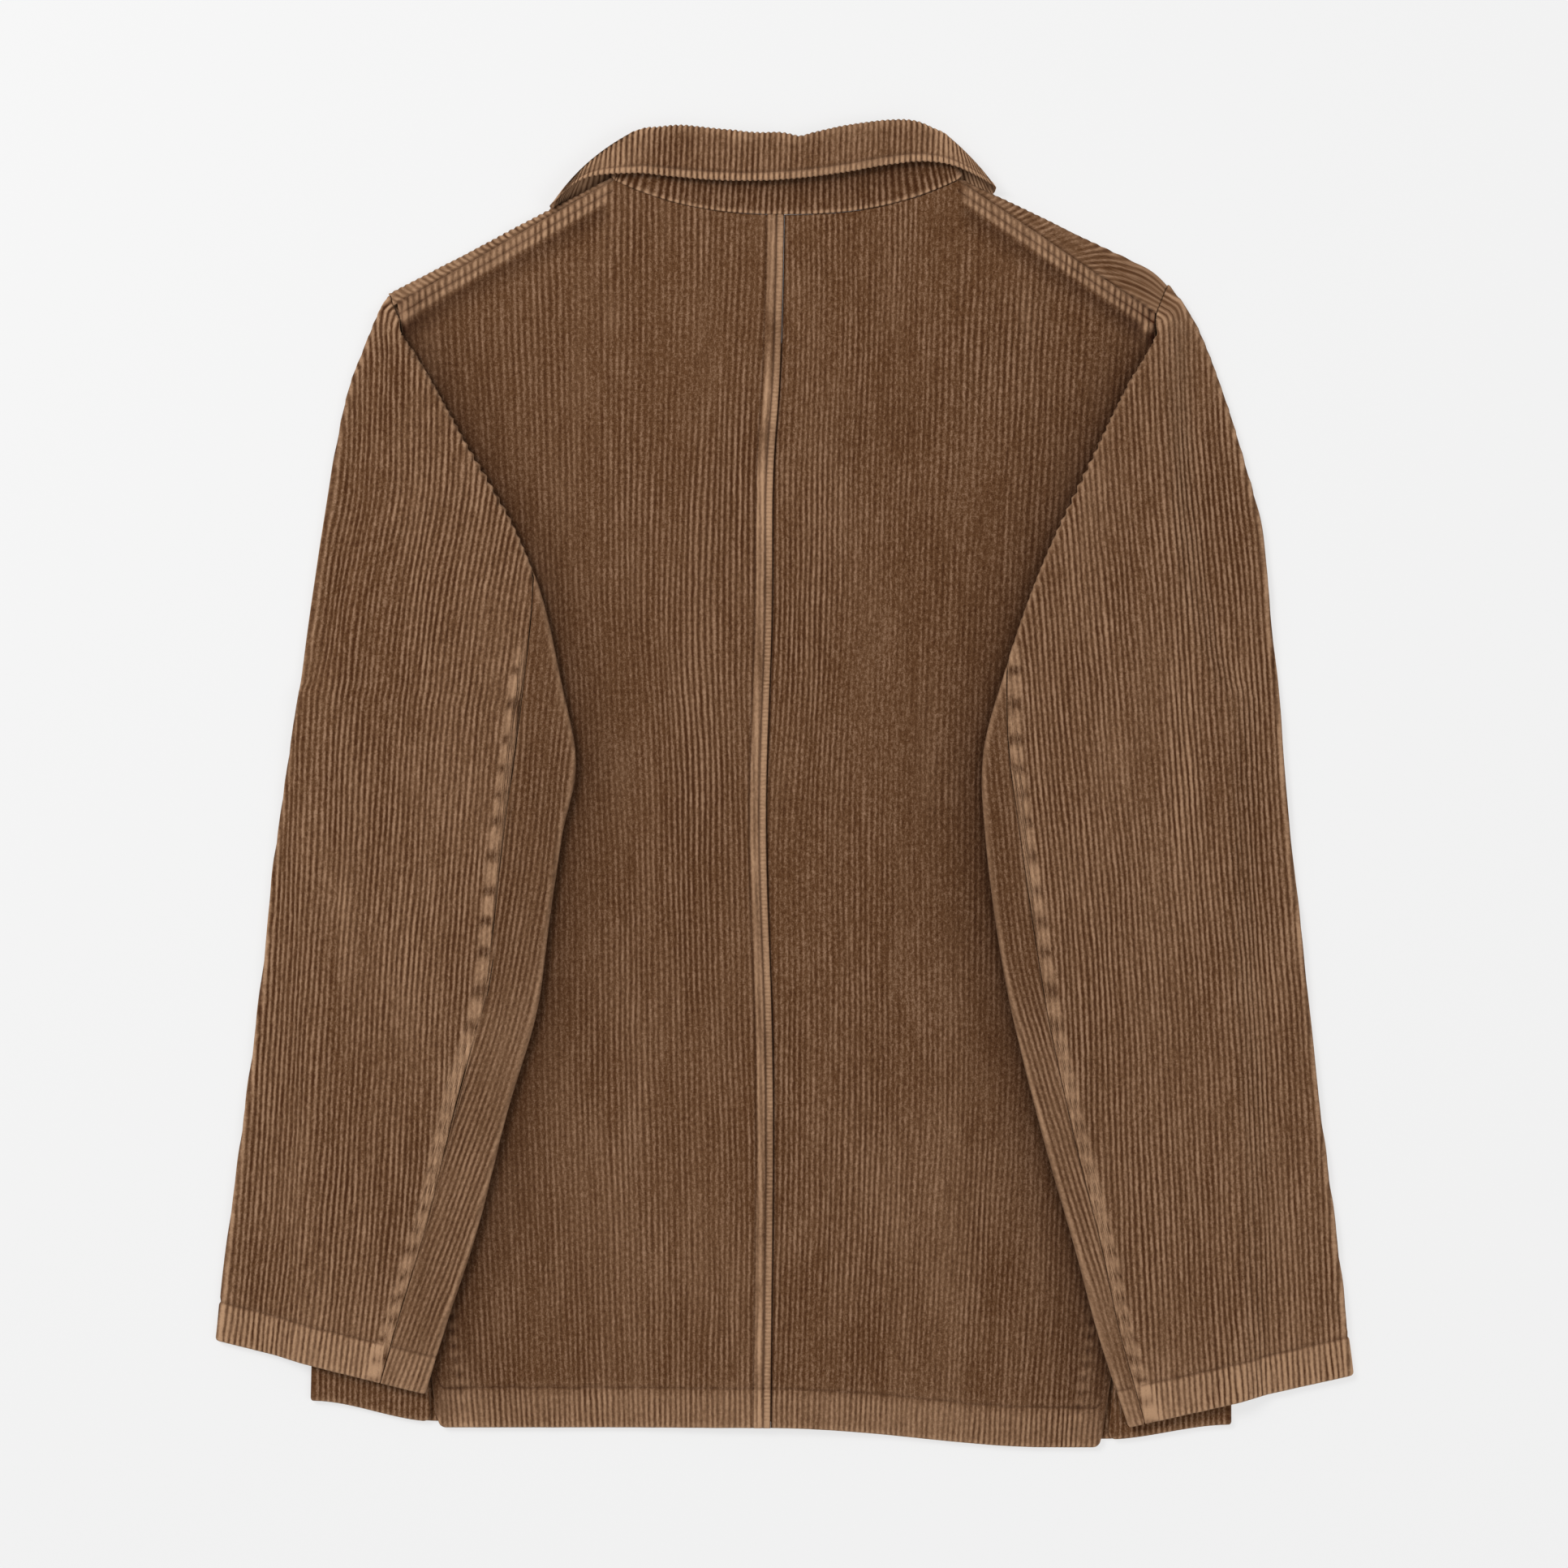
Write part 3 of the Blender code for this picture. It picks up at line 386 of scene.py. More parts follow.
def guided_wales(name, x, y):
    """Wale places between guiding wales, wandering a little as washed cloth does."""
    heights = np.linspace(-420, 420, 841)
    starts = np.array([start for start, _ in GUIDES[name]], float)
    paths = []
    for start, leans in GUIDES[name]:
        path = np.cumsum(np.tan(np.radians(along(heights, leans))))
        paths.append(np.interp(y, heights, start + path - np.interp(WALES_FROM, heights, path)))
    wale = starts[0] + (x - paths[0]) * (starts[1] - starts[0]) / (paths[1] - paths[0])
    for k in range(1, len(starts) - 1):
        pitch = (starts[k + 1] - starts[k]) / (paths[k + 1] - paths[k])
        wale = np.where(x > paths[k], starts[k] + (x - paths[k]) * pitch, wale)
    return wale + 0.6 * uneven(x, y, 11, 52, 3) + 0.3 * uneven(x, y, 5, 21, 4)


def fine_columns(start, stop, extra):
    """Even columns between two places, with the extra ones among them."""
    marks = np.linspace(start, stop, int((stop - start) / FINE) + 2)
    kept = [m for m in marks[1:-1] if all(abs(m - e) > 0.3 for e in extra)]
    return np.array(sorted([start, stop, *kept, *extra]))


def wale_columns(start, stop):
    """Places of columns that follow each wale's groove, sides and top."""
    first, last = math.floor(start / WALE), math.ceil(stop / WALE)
    marks = [(n + share) * WALE for n in range(first, last + 1) for share in COLUMN_SHARES]
    return np.array([start, *(m for m in marks if start + 0.3 < m < stop - 0.3), stop])


def row_places(bottom, top, low, high, shares):
    """Each column's rows: steps in from both ends, and shares of the stretch between them."""
    low, high = (
        np.array(rows, float)[:, None] * np.minimum(1, 0.4 * (top - bottom) / max(rows))
        for rows in (low, high)
    )
    begin, end = bottom + low[-1], top - high[0]
    return np.concatenate([bottom + low, begin + shares * (end - begin), top - high])


def even(count):
    return np.linspace(0, 1, count + 2)[1:-1, None]


# ---- how high each ply lies
def centre(y):
    return along(y, CENTRE)


def taper(y):
    return along(y, TAPER)


def front_lift(x, y):
    """The collar's front half below the fronts lifts them."""
    reach = np.hypot((x - NECK_X) / LEAF_REACH[0], (y - NECK_Y) / LEAF_REACH[1])
    return LEAF_LIFT * ease((1.25 - reach) / 0.2)


def overlap_lift(x, y):
    """The right front lies on the left one at the centre."""
    past = x - centre(y) - OVERLAP - 1.5
    return (WALL + LAY) * ease(1 - past / OVERLAP_RAMP)


def back_inside(x, y):
    """Height of the back's hidden face."""
    out = np.abs(x - centre(y))
    ridge = (WALL + LAY) * ease(1 - (out - OVERLAP - 4) / 60) * ease((350 - y) / 60)
    swell = 1.2 * ease(1 - out / 170) * ease((y + 420) / 120)
    return WALL + 2 * ROLL + front_lift(x, y) + ridge + swell


# ---- the body's outline and folds
def leaning(y):
    return np.clip((y - LEAN_Y[0]) / (LEAN_Y[1] - LEAN_Y[0]), 0, 1)


def body_place(side, out, y, lean):
    """Where cloth at this distance from the centre-back seam lies, before any fold."""
    tip = leaning(y) * ease((out - 150) / 77)
    return centre(y) + side.sign * (out * taper(y) + lean * tip)


def back_point(side, u, y):
    x = body_place(side, u, y, side.back_lean)
    band = BAND_HIGH * ease((BAND_WIDE + 0.5 - u) / 1.5) * (side.sign < 0)
    return together(x, y, back_inside(x, y) + band), together(0 * x, 0 * x, 1 + 0 * x)


def wrapped(past, radius):
    """Place, rise and turn of cloth that runs `past` a fold and comes back above itself."""
    turn = np.clip(past / radius, 0, math.pi)
    place = radius * np.sin(turn) - np.maximum(past - math.pi * radius, 0)
    return place, radius * (1 - np.cos(turn)), turn


def past_shoulder_fold(side, x, y):
    """How far beyond the line the shoulder turns over a place lies, and the direction outward."""
    run, _ = heading(*side.shoulder)
    away = np.array([-run[1], run[0]]) * np.sign(run[0])
    near = np.array(side.shoulder[0]) - away * (WALL + ROLL)
    return (x - near[0]) * away[0] + (y - near[1]) * away[1], away


def front_point(side, u, y):
    """On the surface, round the side beyond the fold, and over the shoulder."""
    fold = HALF_HEM - WALL - ROLL
    back, rise, turn = wrapped(np.maximum(u - fold, 0), ROLL)
    x = body_place(side, np.minimum(u, fold) + back, y, side.front_lean)
    past, away = past_shoulder_fold(side, x, y)
    past = np.maximum(past, 0)
    back, rise_2, turn_2 = wrapped(past, ROLL)
    x = x + away[0] * (back - past)
    y = y + away[1] * (back - past)
    lift = front_lift(x, y) + overlap_lift(x, y) * (side.sign > 0)
    aside = side.sign * np.sin(turn) + away[0] * np.sin(turn_2)
    ahead = away[1] * np.sin(turn_2)
    down = -np.cos(turn) * np.cos(turn_2)
    return together(x, y, WALL + lift + rise + rise_2), together(aside, ahead, down)


def side_seam(gap_side):
    """Distances from the centre, and heights, along the side seam, opening to a vent at the hem."""
    heights = np.linspace(HEM_Y - 20, ARM_Y, 60)
    out = SIDE_SEAM_HEM + (heights - HEM_Y) * (SIDE_SEAM_ARM - SIDE_SEAM_HEM) / (ARM_Y - HEM_Y)
    gap = SEAM / 2 + VENT_GAP * ease((VENT_Y - heights) / (VENT_Y - HEM_Y))
    return out + gap_side * gap, heights


def back_hem(side, u):
    return HEM_Y - 1 - side.hem_drop * ease(u / 170)


def front_hem(side, u):
    """The front's hem, rising a little towards the side."""
    near_side = ease(1 - np.abs(u - HALF_HEM + WALL) / 75)
    lie = HEM_Y + 2.5 - side.hem_drop * 0.9 * ease(u / 170)
    return lie + near_side * (12.5 - 0.3 * side.hem_drop)


def corner_rise(u, end):
    """How far the hem's rounded corner rises towards the cloth's edge at `end`."""
    return CORNER * (1 - np.sqrt(1 - np.clip((u - end) / CORNER + 1, 0, 1) ** 2))


def neck_heights(x):
    """Heights of the neck's curve on the back and on the fronts."""
    share = np.minimum(np.abs(x - NECK_X) / NECK_HALF, 1)
    back = NECK_Y - BACK_NECK_DROP * (1 - share**2.4)
    return back, NECK_Y - FRONT_NECK_DROP * np.sqrt(1 - share**2)


def neck_half(side):
    """Distance from the centre-back seam to the neck's side point."""
    y = NECK_Y - 0.5
    return float(((NECK_X - centre(y)) * side.sign + NECK_HALF) / taper(y))


def shoulder_seam(side):
    """Where the shoulder seam starts at the neck, its direction and its length."""
    near = np.array([NECK_X + side.sign * NECK_HALF, NECK_Y])
    return near, *heading(near, side.seam_end)


def past_shoulder_seam(side, x, y):
    """How far beyond the shoulder seam a place lies, towards the fold."""
    near, run, _ = shoulder_seam(side)
    return ((y - near[1]) * run[0] - (x - near[0]) * run[1]) * side.sign


def heights_where(level, side, u, lean, heights, how_far):
    """Heights at which the cloth at each distance u gets this far past a line."""
    lines = [how_far(side, body_place(side, at, heights, lean), heights) for at in u]
    return [float(np.interp(level, past, heights)) for past in lines]


def past_front_neck(_, x, y):
    return y - neck_heights(x)[1]


def shoulder_begins(side, u):
    """Heights at which the front's cloth reaches the shoulder's fold."""
    heights = np.linspace(200, 400, 2001)
    return heights_where(
        0, side, u, side.front_lean, heights, lambda *place: past_shoulder_fold(*place)[0]
    )


def armhole_height(u):
    heights, outs = np.array(ARMHOLE, float).T
    return np.interp(-u, -outs, heights)


def back_top(side, u):
    """The neck curve, the shoulder seam, then the armhole."""
    x = centre(np.full_like(u, 342.0)) + side.sign * u
    heights = np.linspace(240, 400, 3201)
    shoulder = heights_where(-SEAM / 2, side, u, side.back_lean, heights, past_shoulder_seam)
    top = np.where(u < neck_half(side), neck_heights(x)[0] - SEAM / 2, shoulder)
    return np.where(u > SHOULDER, armhole_height(u), top)


def front_top(side, u):
    """The neck curve, the shoulder's fold, the armhole, then the side seam, on the flat cloth."""
    fold = HALF_HEM - WALL - ROLL
    both = 2 * fold + math.pi * ROLL
    heights = np.linspace(NECK_Y - FRONT_NECK_DROP - 5, NECK_Y, 1801)
    neck = heights_where(-SEAM / 2, side, u, side.front_lean, heights, past_front_neck)
    seam_u, seam_y = side_seam(1)
    top = np.where(np.abs(u) < neck_half(side), neck, shoulder_begins(side, u))
    top = np.where(u > SHOULDER, armhole_height(u), top)
    top = np.where(u > fold - 1, ARM_Y - SEAM / 2, top)
    return np.where(u > both - SIDE_SEAM_ARM, np.interp(-u, seam_u - both, seam_y), top)


# ---- cloth
class Lay:
    """A grid of cloth: its hidden face, the way outward, and what the cloth does at each point."""

    def __init__(self, points, directions, wale, run):
        self.points, self.directions = points, directions
        self.wale, self.run = np.broadcast_arrays(wale, run)
        shape = self.wale.shape
        self.rise = np.zeros(shape)  # of both faces, by soft folds and puckers
        self.thick = np.full(shape, WALL - PILE)
        self.pile = np.ones(shape)
        self.wear = np.zeros(shape)
        self.deep = np.zeros(shape)  # painted shade: how far the colour darkens toward the shade tint
        self.level = np.zeros(shape)  # 1 where the ribs are too small to stand up in the mesh

    def upward(self):
        return np.clip(self.directions[..., 2], 0, 1)

    def rounded(self, distance):
        """The sewn edge rolls down and loses its pile."""
        roll = np.clip(1 - distance / EDGE_ROUND, 0, 1)
        self.thick -= 0.5 * roll**2
        self.pile *= 1 - 0.55 * roll**2

    def stitched(self, distance, run, depth=0.45):
        """A topstitch line pulls the cloth down, most at each stitch, and paints shade into its
        groove.
        """
        bite = 0.65 + 0.35 * np.cos(run * 2 * math.pi / STITCH)
        self.rise -= depth * hump(distance, 1.1) * bite * 0.4
        self.pile *= 1 - 0.7 * hump(distance, 0.8) * bite
        # painted shade along the stitched groove
        self.deep += 0.6 * depth * hump(distance, 0.8)

    def turned_up(self, from_edge, run, deep, where, wander=0.0, depth=0.6):
        """The cloth turned up inside stands a little higher, as far as its row of stitches."""
        turned = ease((deep - from_edge) / 1.5) * where
        self.thick += TURN_THICK * turned
        self.stitched(from_edge - deep - wander, run, depth)
        return turned

    def ridge(self):
        return 1 - np.abs(np.cos(math.pi * self.wale / WALE)) ** RIDGE_SHARPNESS

    def faces(self):
        inner = self.points + self.rise[..., None] * self.directions
        pile = np.clip(self.pile, 0, 1.25) * (1 - self.level)
        depth = self.thick + PILE * (pile * self.ridge() + 0.5 * self.level)
        outer = inner + depth[..., None] * self.directions
        outer[..., 2] = np.maximum(outer[..., 2], 0.0)  # it rests on a hard surface
        return inner, outer


def in_shade(lay, name):
    """Painted shadow of the sleeve on the cloth beside its crease, with the wales' contrast lowered
    there.
    """
    side = SIDES[name]
    inner_x, inner_y = np.array(SLEEVES[name], float).T[2:4]
    x, y, _ = np.moveaxis(lay.points, -1, 0)
    beyond = np.maximum((np.interp(y, inner_y, inner_x) - x) * side.sign, 0)
    below = ease((y - inner_y[0] + 25) / 20)
    near, further = np.exp(-beyond / 14), np.exp(-beyond / 45)
    # painted shadow: darkest next to the crease, fading further out
    lay.deep += below * (0.4 * near + side.shade * further)
    lay.pile *= 1 - below * 0.45 * further


def worn(lay, folds=(), seed=0, crisp=0.76):
    """Soft folds, unevenly crushed wales, small ripples, and the shoulder points' wear."""
    x, y, _ = np.moveaxis(lay.points, -1, 0)
    upward = lay.upward()
    lay.pile *= (
        crisp + 0.36 * uneven(x, y, 24, 85, seed + 10) + 0.22 * uneven(x, y, 6, 24, seed + 11)
    )
    lay.wear += 0.09 * uneven(x, y, 17, 60, seed + 12) + 0.07 * uneven(x, y, 5, 30, seed + 13)
    ripples = 0.3 * uneven(x, y, 10, 44, seed + 14) + 0.14 * uneven(x, y, 5, 12, seed + 15)
    lay.rise += ripples * upward
    for at_x, at_y, wide, long, rubbed, standing in STREAKS:
        near = hump(x - at_x, wide) * hump(y - at_y, long) * upward
        lay.wear += rubbed * near
        lay.pile += standing * near
        # rubbed places carry less painted shade
        lay.deep *= 1 - max(rubbed, 0) * near
    for side in SIDES.values():
        tip_x, tip_y = side.tip
        from_tip = np.hypot(x - tip_x, y - tip_y)
        knot = hump(from_tip - 4, 3.0) * (0.5 + 0.5 * np.cos(np.arctan2(y - tip_y, x - tip_x) * 5))
        rope = hump(past_shoulder_seam(side, x, y), 2.0) * ease((28 - from_tip) / 8) * upward
        beat = 0.5 + 0.5 * np.cos(from_tip * 2 * math.pi / 4.4)
        lay.wear += 0.3 * hump(from_tip, 17.0) + 0.4 * knot + 0.4 * rope * beat
        lay.rise += 0.5 * knot * upward + 0.6 * rope * beat
        # painted shade between the rope's knots
        lay.deep += 0.25 * rope * (1 - beat)
    for at_x, at_y, lean, long, wide, high in folds:
        cos, sin = math.cos(math.radians(lean)), math.sin(math.radians(lean))
        ahead = (y - at_y) * cos + (x - at_x) * sin
        aside = (x - at_x) * cos - (y - at_y) * sin
        lay.rise += high * hump(ahead, long) * hump(aside, wide) * upward


# ---- the body
def shoulder_allowance(lay, side, u, from_top):
    """The allowance inside stands up below the shoulder seam, and is rubbed."""
    neck_u = neck_half(side)
    on_shoulder = (u > neck_u) & (u < SHOULDER + 1)
    lay.stitched(np.where(on_shoulder, from_top - SHOULDER_STITCH, FAR), u, 0.9)
    lay.stitched(np.where(on_shoulder, from_top - 0.6, FAR), u, 0.35)
    begun = on_shoulder * ease((u - neck_u + 1) / 9)
    allowance = begun * ease((SHOULDER_DEEP - from_top) / 1.8)
    lay.thick += TURN_THICK * allowance
    lay.wear += 0.6 * allowance + 0.2 * begun * hump(from_top - 3, 1.7)
    lay.wear += 0.3 * begun * hump(from_top - SHOULDER_DEEP + 1.8, 1.8)
    lay.pile *= 1 + 0.7 * allowance
    # painted shadow below the allowance's step
    lay.deep += 0.4 * begun * hump(from_top - SHOULDER_DEEP - 3, 3.0)


def felled_band(lay, u, y):
    """The felled band is rubbed pale, and ribbed beside its topstitching."""
    band = ease((BAND_WIDE + 0.3 + 0.4 * uneven(y, 0 * y, 17, 1, 6) - u) / 1.0)
    rubbed = 0.74 + 0.3 * uneven(y, 0 * y, 23, 1, 7) + 0.35 * uneven(u + 0 * y, y, 4, 17, 9)
    lay.wear += band * rubbed + 0.35 * hump(u - 2.4, 1.8) - 0.4 * hump(u - BAND_STITCH, 0.7)
    lay.pile *= 1 - 0.3 * band
    lay.stitched(u - BAND_STITCH, y, 1.0)
    lay.stitched(np.where(u > 10, u - 10.6, FAR), y, 0.8)
    ribbed, edge = u + 0 * y < 4.4, u < 0.5
    lay.wale = np.where(ribbed, y * WALE / TICK, lay.wale)
    lay.run = np.where(ribbed, u * 1.3, lay.run)
    lay.pile = np.where(ribbed, 0.42, lay.pile)
    lay.level = np.where(ribbed, 1.0, lay.level)
    # painted shade in the gap of the centre-back seam, with no wear there
    lay.wear, lay.deep = np.where(edge, 0.0, lay.wear), np.where(edge, 0.9, lay.deep)


def back_lay(name):
    side = SIDES[name]
    neck_u = neck_half(side)
    seam_u, seam_y = side_seam(-1)
    u = fine_columns(SEAM / 2, SIDE_SEAM_ARM - 2, extra=(*SEAM_COLUMNS, neck_u, SHOULDER))
    corner_u = np.interp(back_hem(side, SIDE_SEAM_HEM), seam_y, seam_u)
    bottom = np.maximum(back_hem(side, u) + corner_rise(u, corner_u), np.interp(u, seam_u, seam_y))
    top = back_top(side, u)
    # the rows lie closer together beside the vents' facings
    shares = np.concatenate([np.linspace(0.003, 0.15, 56), np.linspace(0.168, 0.982, 44)])
    y = row_places(bottom, top, HEM_ROWS, SHOULDER_ROWS, shares[:, None])
    points, directions = back_point(side, np.broadcast_to(u, y.shape), y)
    lay = Lay(points, directions, guided_wales(f"back_{name}", points[..., 0], y), y)
    from_hem, from_top = y - bottom, (top - y) * np.where(u < neck_u, 1.0, 0.87)
    at_hem = u < corner_u
    hem = lay.turned_up(from_hem, u, HEM_DEEP, at_hem, wander=0.5 * uneven(u, 0 * u, 12, 1, 5))
    lay.wear += 0.46 * at_hem * ease((HEM_DEEP + 1 - from_hem) / 5)
    lay.wear += 0.45 * hump(from_hem, 2.0) + 0.12 * hump(from_hem - HEM_DEEP - 2, 2.5)
    lay.pile *= 1 + 0.3 * hem
    to_side = np.interp(y, seam_y, seam_u) - u
    facing = ease((-285 - y) / 15)
    pucker = np.cos(y * 2 * math.pi / PUCKER + side.sign)
    near_facing = facing * hump(to_side - FACING, 4.5)
    lay.rise += 0.5 * near_facing * pucker
    lay.wear += near_facing * (0.15 + 0.4 * np.maximum(pucker, 0))
    lay.wear += 0.5 * hump(to_side, 1.6) * (y < VENT_Y + 30)
    # painted shade in the hollows between the facing's puckers
    lay.deep += 0.35 * facing * hump(to_side - FACING, 1.4) * np.maximum(-pucker, 0)
    in_shade(lay, name)
    for edge in (to_side, from_hem, from_top):
        lay.rounded(edge)
    shoulder_allowance(lay, side, u, from_top)
    if name == "left":
        felled_band(lay, u, y)
    else:
        # painted shade in the gap of the centre-back seam
        lay.deep += 0.75 * hump(u, 1.3)
    lay.rounded(u)
    worn(lay, FOLDS["back"])
    return [lay]


def strip_wales(side, points, past):
    """Wale lines that meet the shoulder seam at a slant, and swing round along it at the tip."""
    near, far = side.shoulder
    run, length = heading(near, far)
    length += 14
    reach = (points[..., :2] - near) @ run
    marks = np.linspace(-40, 140, 361)
    slant = np.radians(side.strip_slant) * ease((length - marks) / side.strip_swing)
    gathered = np.cumsum(np.sin(slant)) * (marks[1] - marks[0])
    gathered -= np.interp(length, marks, gathered)
    return np.interp(reach, marks, gathered) + past * np.cos(np.interp(reach, marks, slant))


def tip_rounded(side, points):
    """The corner where the shoulder's fold meets the sleeve is soft, not square."""
    near, far = side.shoulder
    beyond = (points[..., :2] - far) @ heading(near, far)[0] + 3
    past, away = past_shoulder_fold(side, points[..., 0], points[..., 1])
    pull = side.tip_round * np.clip(beyond / 16, 0, 1.3) ** 2 * hump(WALL + ROLL - past, 12.0)
    points[..., :2] -= away * pull[..., None]


def shoulder_lay(side, columns):
    """The cloth beyond the shoulder's fold, up to the shoulder seam on the back."""
    seam_near, seam, seam_length = shoulder_seam(side)
    _, away = past_shoulder_fold(side, 0, 0)
    begins, bends, lands = shoulder_begins(side, columns), [], []
    for u, begin in zip(columns, begins):
        heights = begin + np.linspace(0, 60, 2401)
        points, _ = front_point(side, np.full_like(heights, u), heights)
        past = past_shoulder_seam(side, points[:, 0], points[:, 1])
        beyond = np.argmax(past)
        landed = beyond + np.argmax(past[beyond:] < SEAM / 2)
        bends.append(min(math.pi * ROLL / away[1], (heights[landed] - begin) * 0.9))
        lands.append((points[landed, :2] - seam_near) @ seam)
    lands = np.array(lands)
    share = (lands - lands[0]) / (lands[-1] - lands[0])
    lands += share**2 * (seam_length + side.strip_more - lands[-1])
    outward = np.array([-seam[1], seam[0]]) * side.sign
    landing = seam_near + lands[:, None] * seam + outward * SEAM / 2
    turned = np.linspace(0, 1, 7)[:, None]
    y = begins + turned * bends
    bend_points, bend_ways = front_point(side, np.broadcast_to(columns, y.shape), y)
    flat = np.concatenate([np.linspace(0, 0.9, 26)[1:], [0.94, 0.97, 1.0]])[:, None, None]
    last = bend_points[-1, :, :2]
    plan = last + flat * (landing - last)
    high = WALL + 2 * ROLL + front_lift(plan[..., 0], plan[..., 1])
    points = np.concatenate([bend_points, np.dstack([plan, high])])
    ways = np.concatenate([bend_ways, np.zeros(plan.shape[:2] + (3,)) + (0, 0, 1)])
    past = math.pi * ROLL - past_shoulder_fold(side, points[..., 0], points[..., 1])[0]
    past[:7] = math.pi * ROLL * turned
    wale = strip_wales(side, points, past - math.pi * ROLL / 2 + 1.0)
    tip_rounded(side, points)
    lay = Lay(points, ways, wale, past)
    from_seam = np.where(ways[..., 2] > 0.5, (points[..., :2] - landing) @ outward, FAR)
    lay.rounded(from_seam)
    lay.stitched(from_seam - 0.5, points[..., 0], 0.5)
    lay.wear += side.strip_wear + 0.2 * hump(from_seam - 2, 1.5) + 0.2 * hump(past - 2.5, 3.0)
    worn(lay, seed=40, crisp=side.strip_crisp)
    return lay


def front_lay(name):
    side = SIDES[name]
    fold = HALF_HEM - WALL - ROLL
    turn = math.pi * ROLL
    neck_u = neck_half(side)
    over_shoulder = np.linspace(neck_u + 2 * SEAM, SHOULDER, OVER_SHOULDER)
    hidden = [-OVERLAP, 0, 21, 36, 56, 73.5, 88, 98, neck_u - 1.2]
    seam_u, seam_y = side_seam(1)
    seam_hem = np.interp(front_hem(side, 2 * fold - SIDE_SEAM_HEM) + 3, seam_y, seam_u)
    bend = fold + turn * np.linspace(0, 1, 9)
    near_fold = wale_columns(SHOULDER, fold - 1)[1:]
    past_fold = wale_columns(fold + turn, 2 * fold + turn - seam_hem)[1:]
    u = np.concatenate([hidden, over_shoulder, near_fold, bend, past_fold])
    bottom, top = front_hem(side, u) + corner_rise(u, u[-1]), front_top(side, u)
    y = row_places(bottom, top, HEM_ROWS, ARM_ROWS, even(FRONT_ROWS))
    lay = Lay(*front_point(side, np.broadcast_to(u, y.shape), y), u, y)
    tip_rounded(side, lay.points)
    from_hem = y - bottom
    lay.turned_up(from_hem, u, HEM_DEEP, u > fold, depth=0.45)
    lay.wear += 0.6 * hump(from_hem, 1.8) + 0.04
    lay.rounded(from_hem)
    lay.rounded(2 * fold + turn - np.interp(y, seam_y, seam_u) - u)
    return [lay, shoulder_lay(side, over_shoulder)]


# ---- the sleeves
def edge_out(side, x, y, lean):
    """How far outside the body's side, or its armhole, a place lies."""
    edge = np.where(y < ARM_Y, HALF_HEM, np.interp(y, *np.array(ARMHOLE, float).T))
    return side.sign * (x - centre(y)) / taper(y) - edge - lean * leaning(y)


UNDER, TURNED, UPPER, ON_BACK = 60, 11, 140, 80  # points along a section's sides and folds


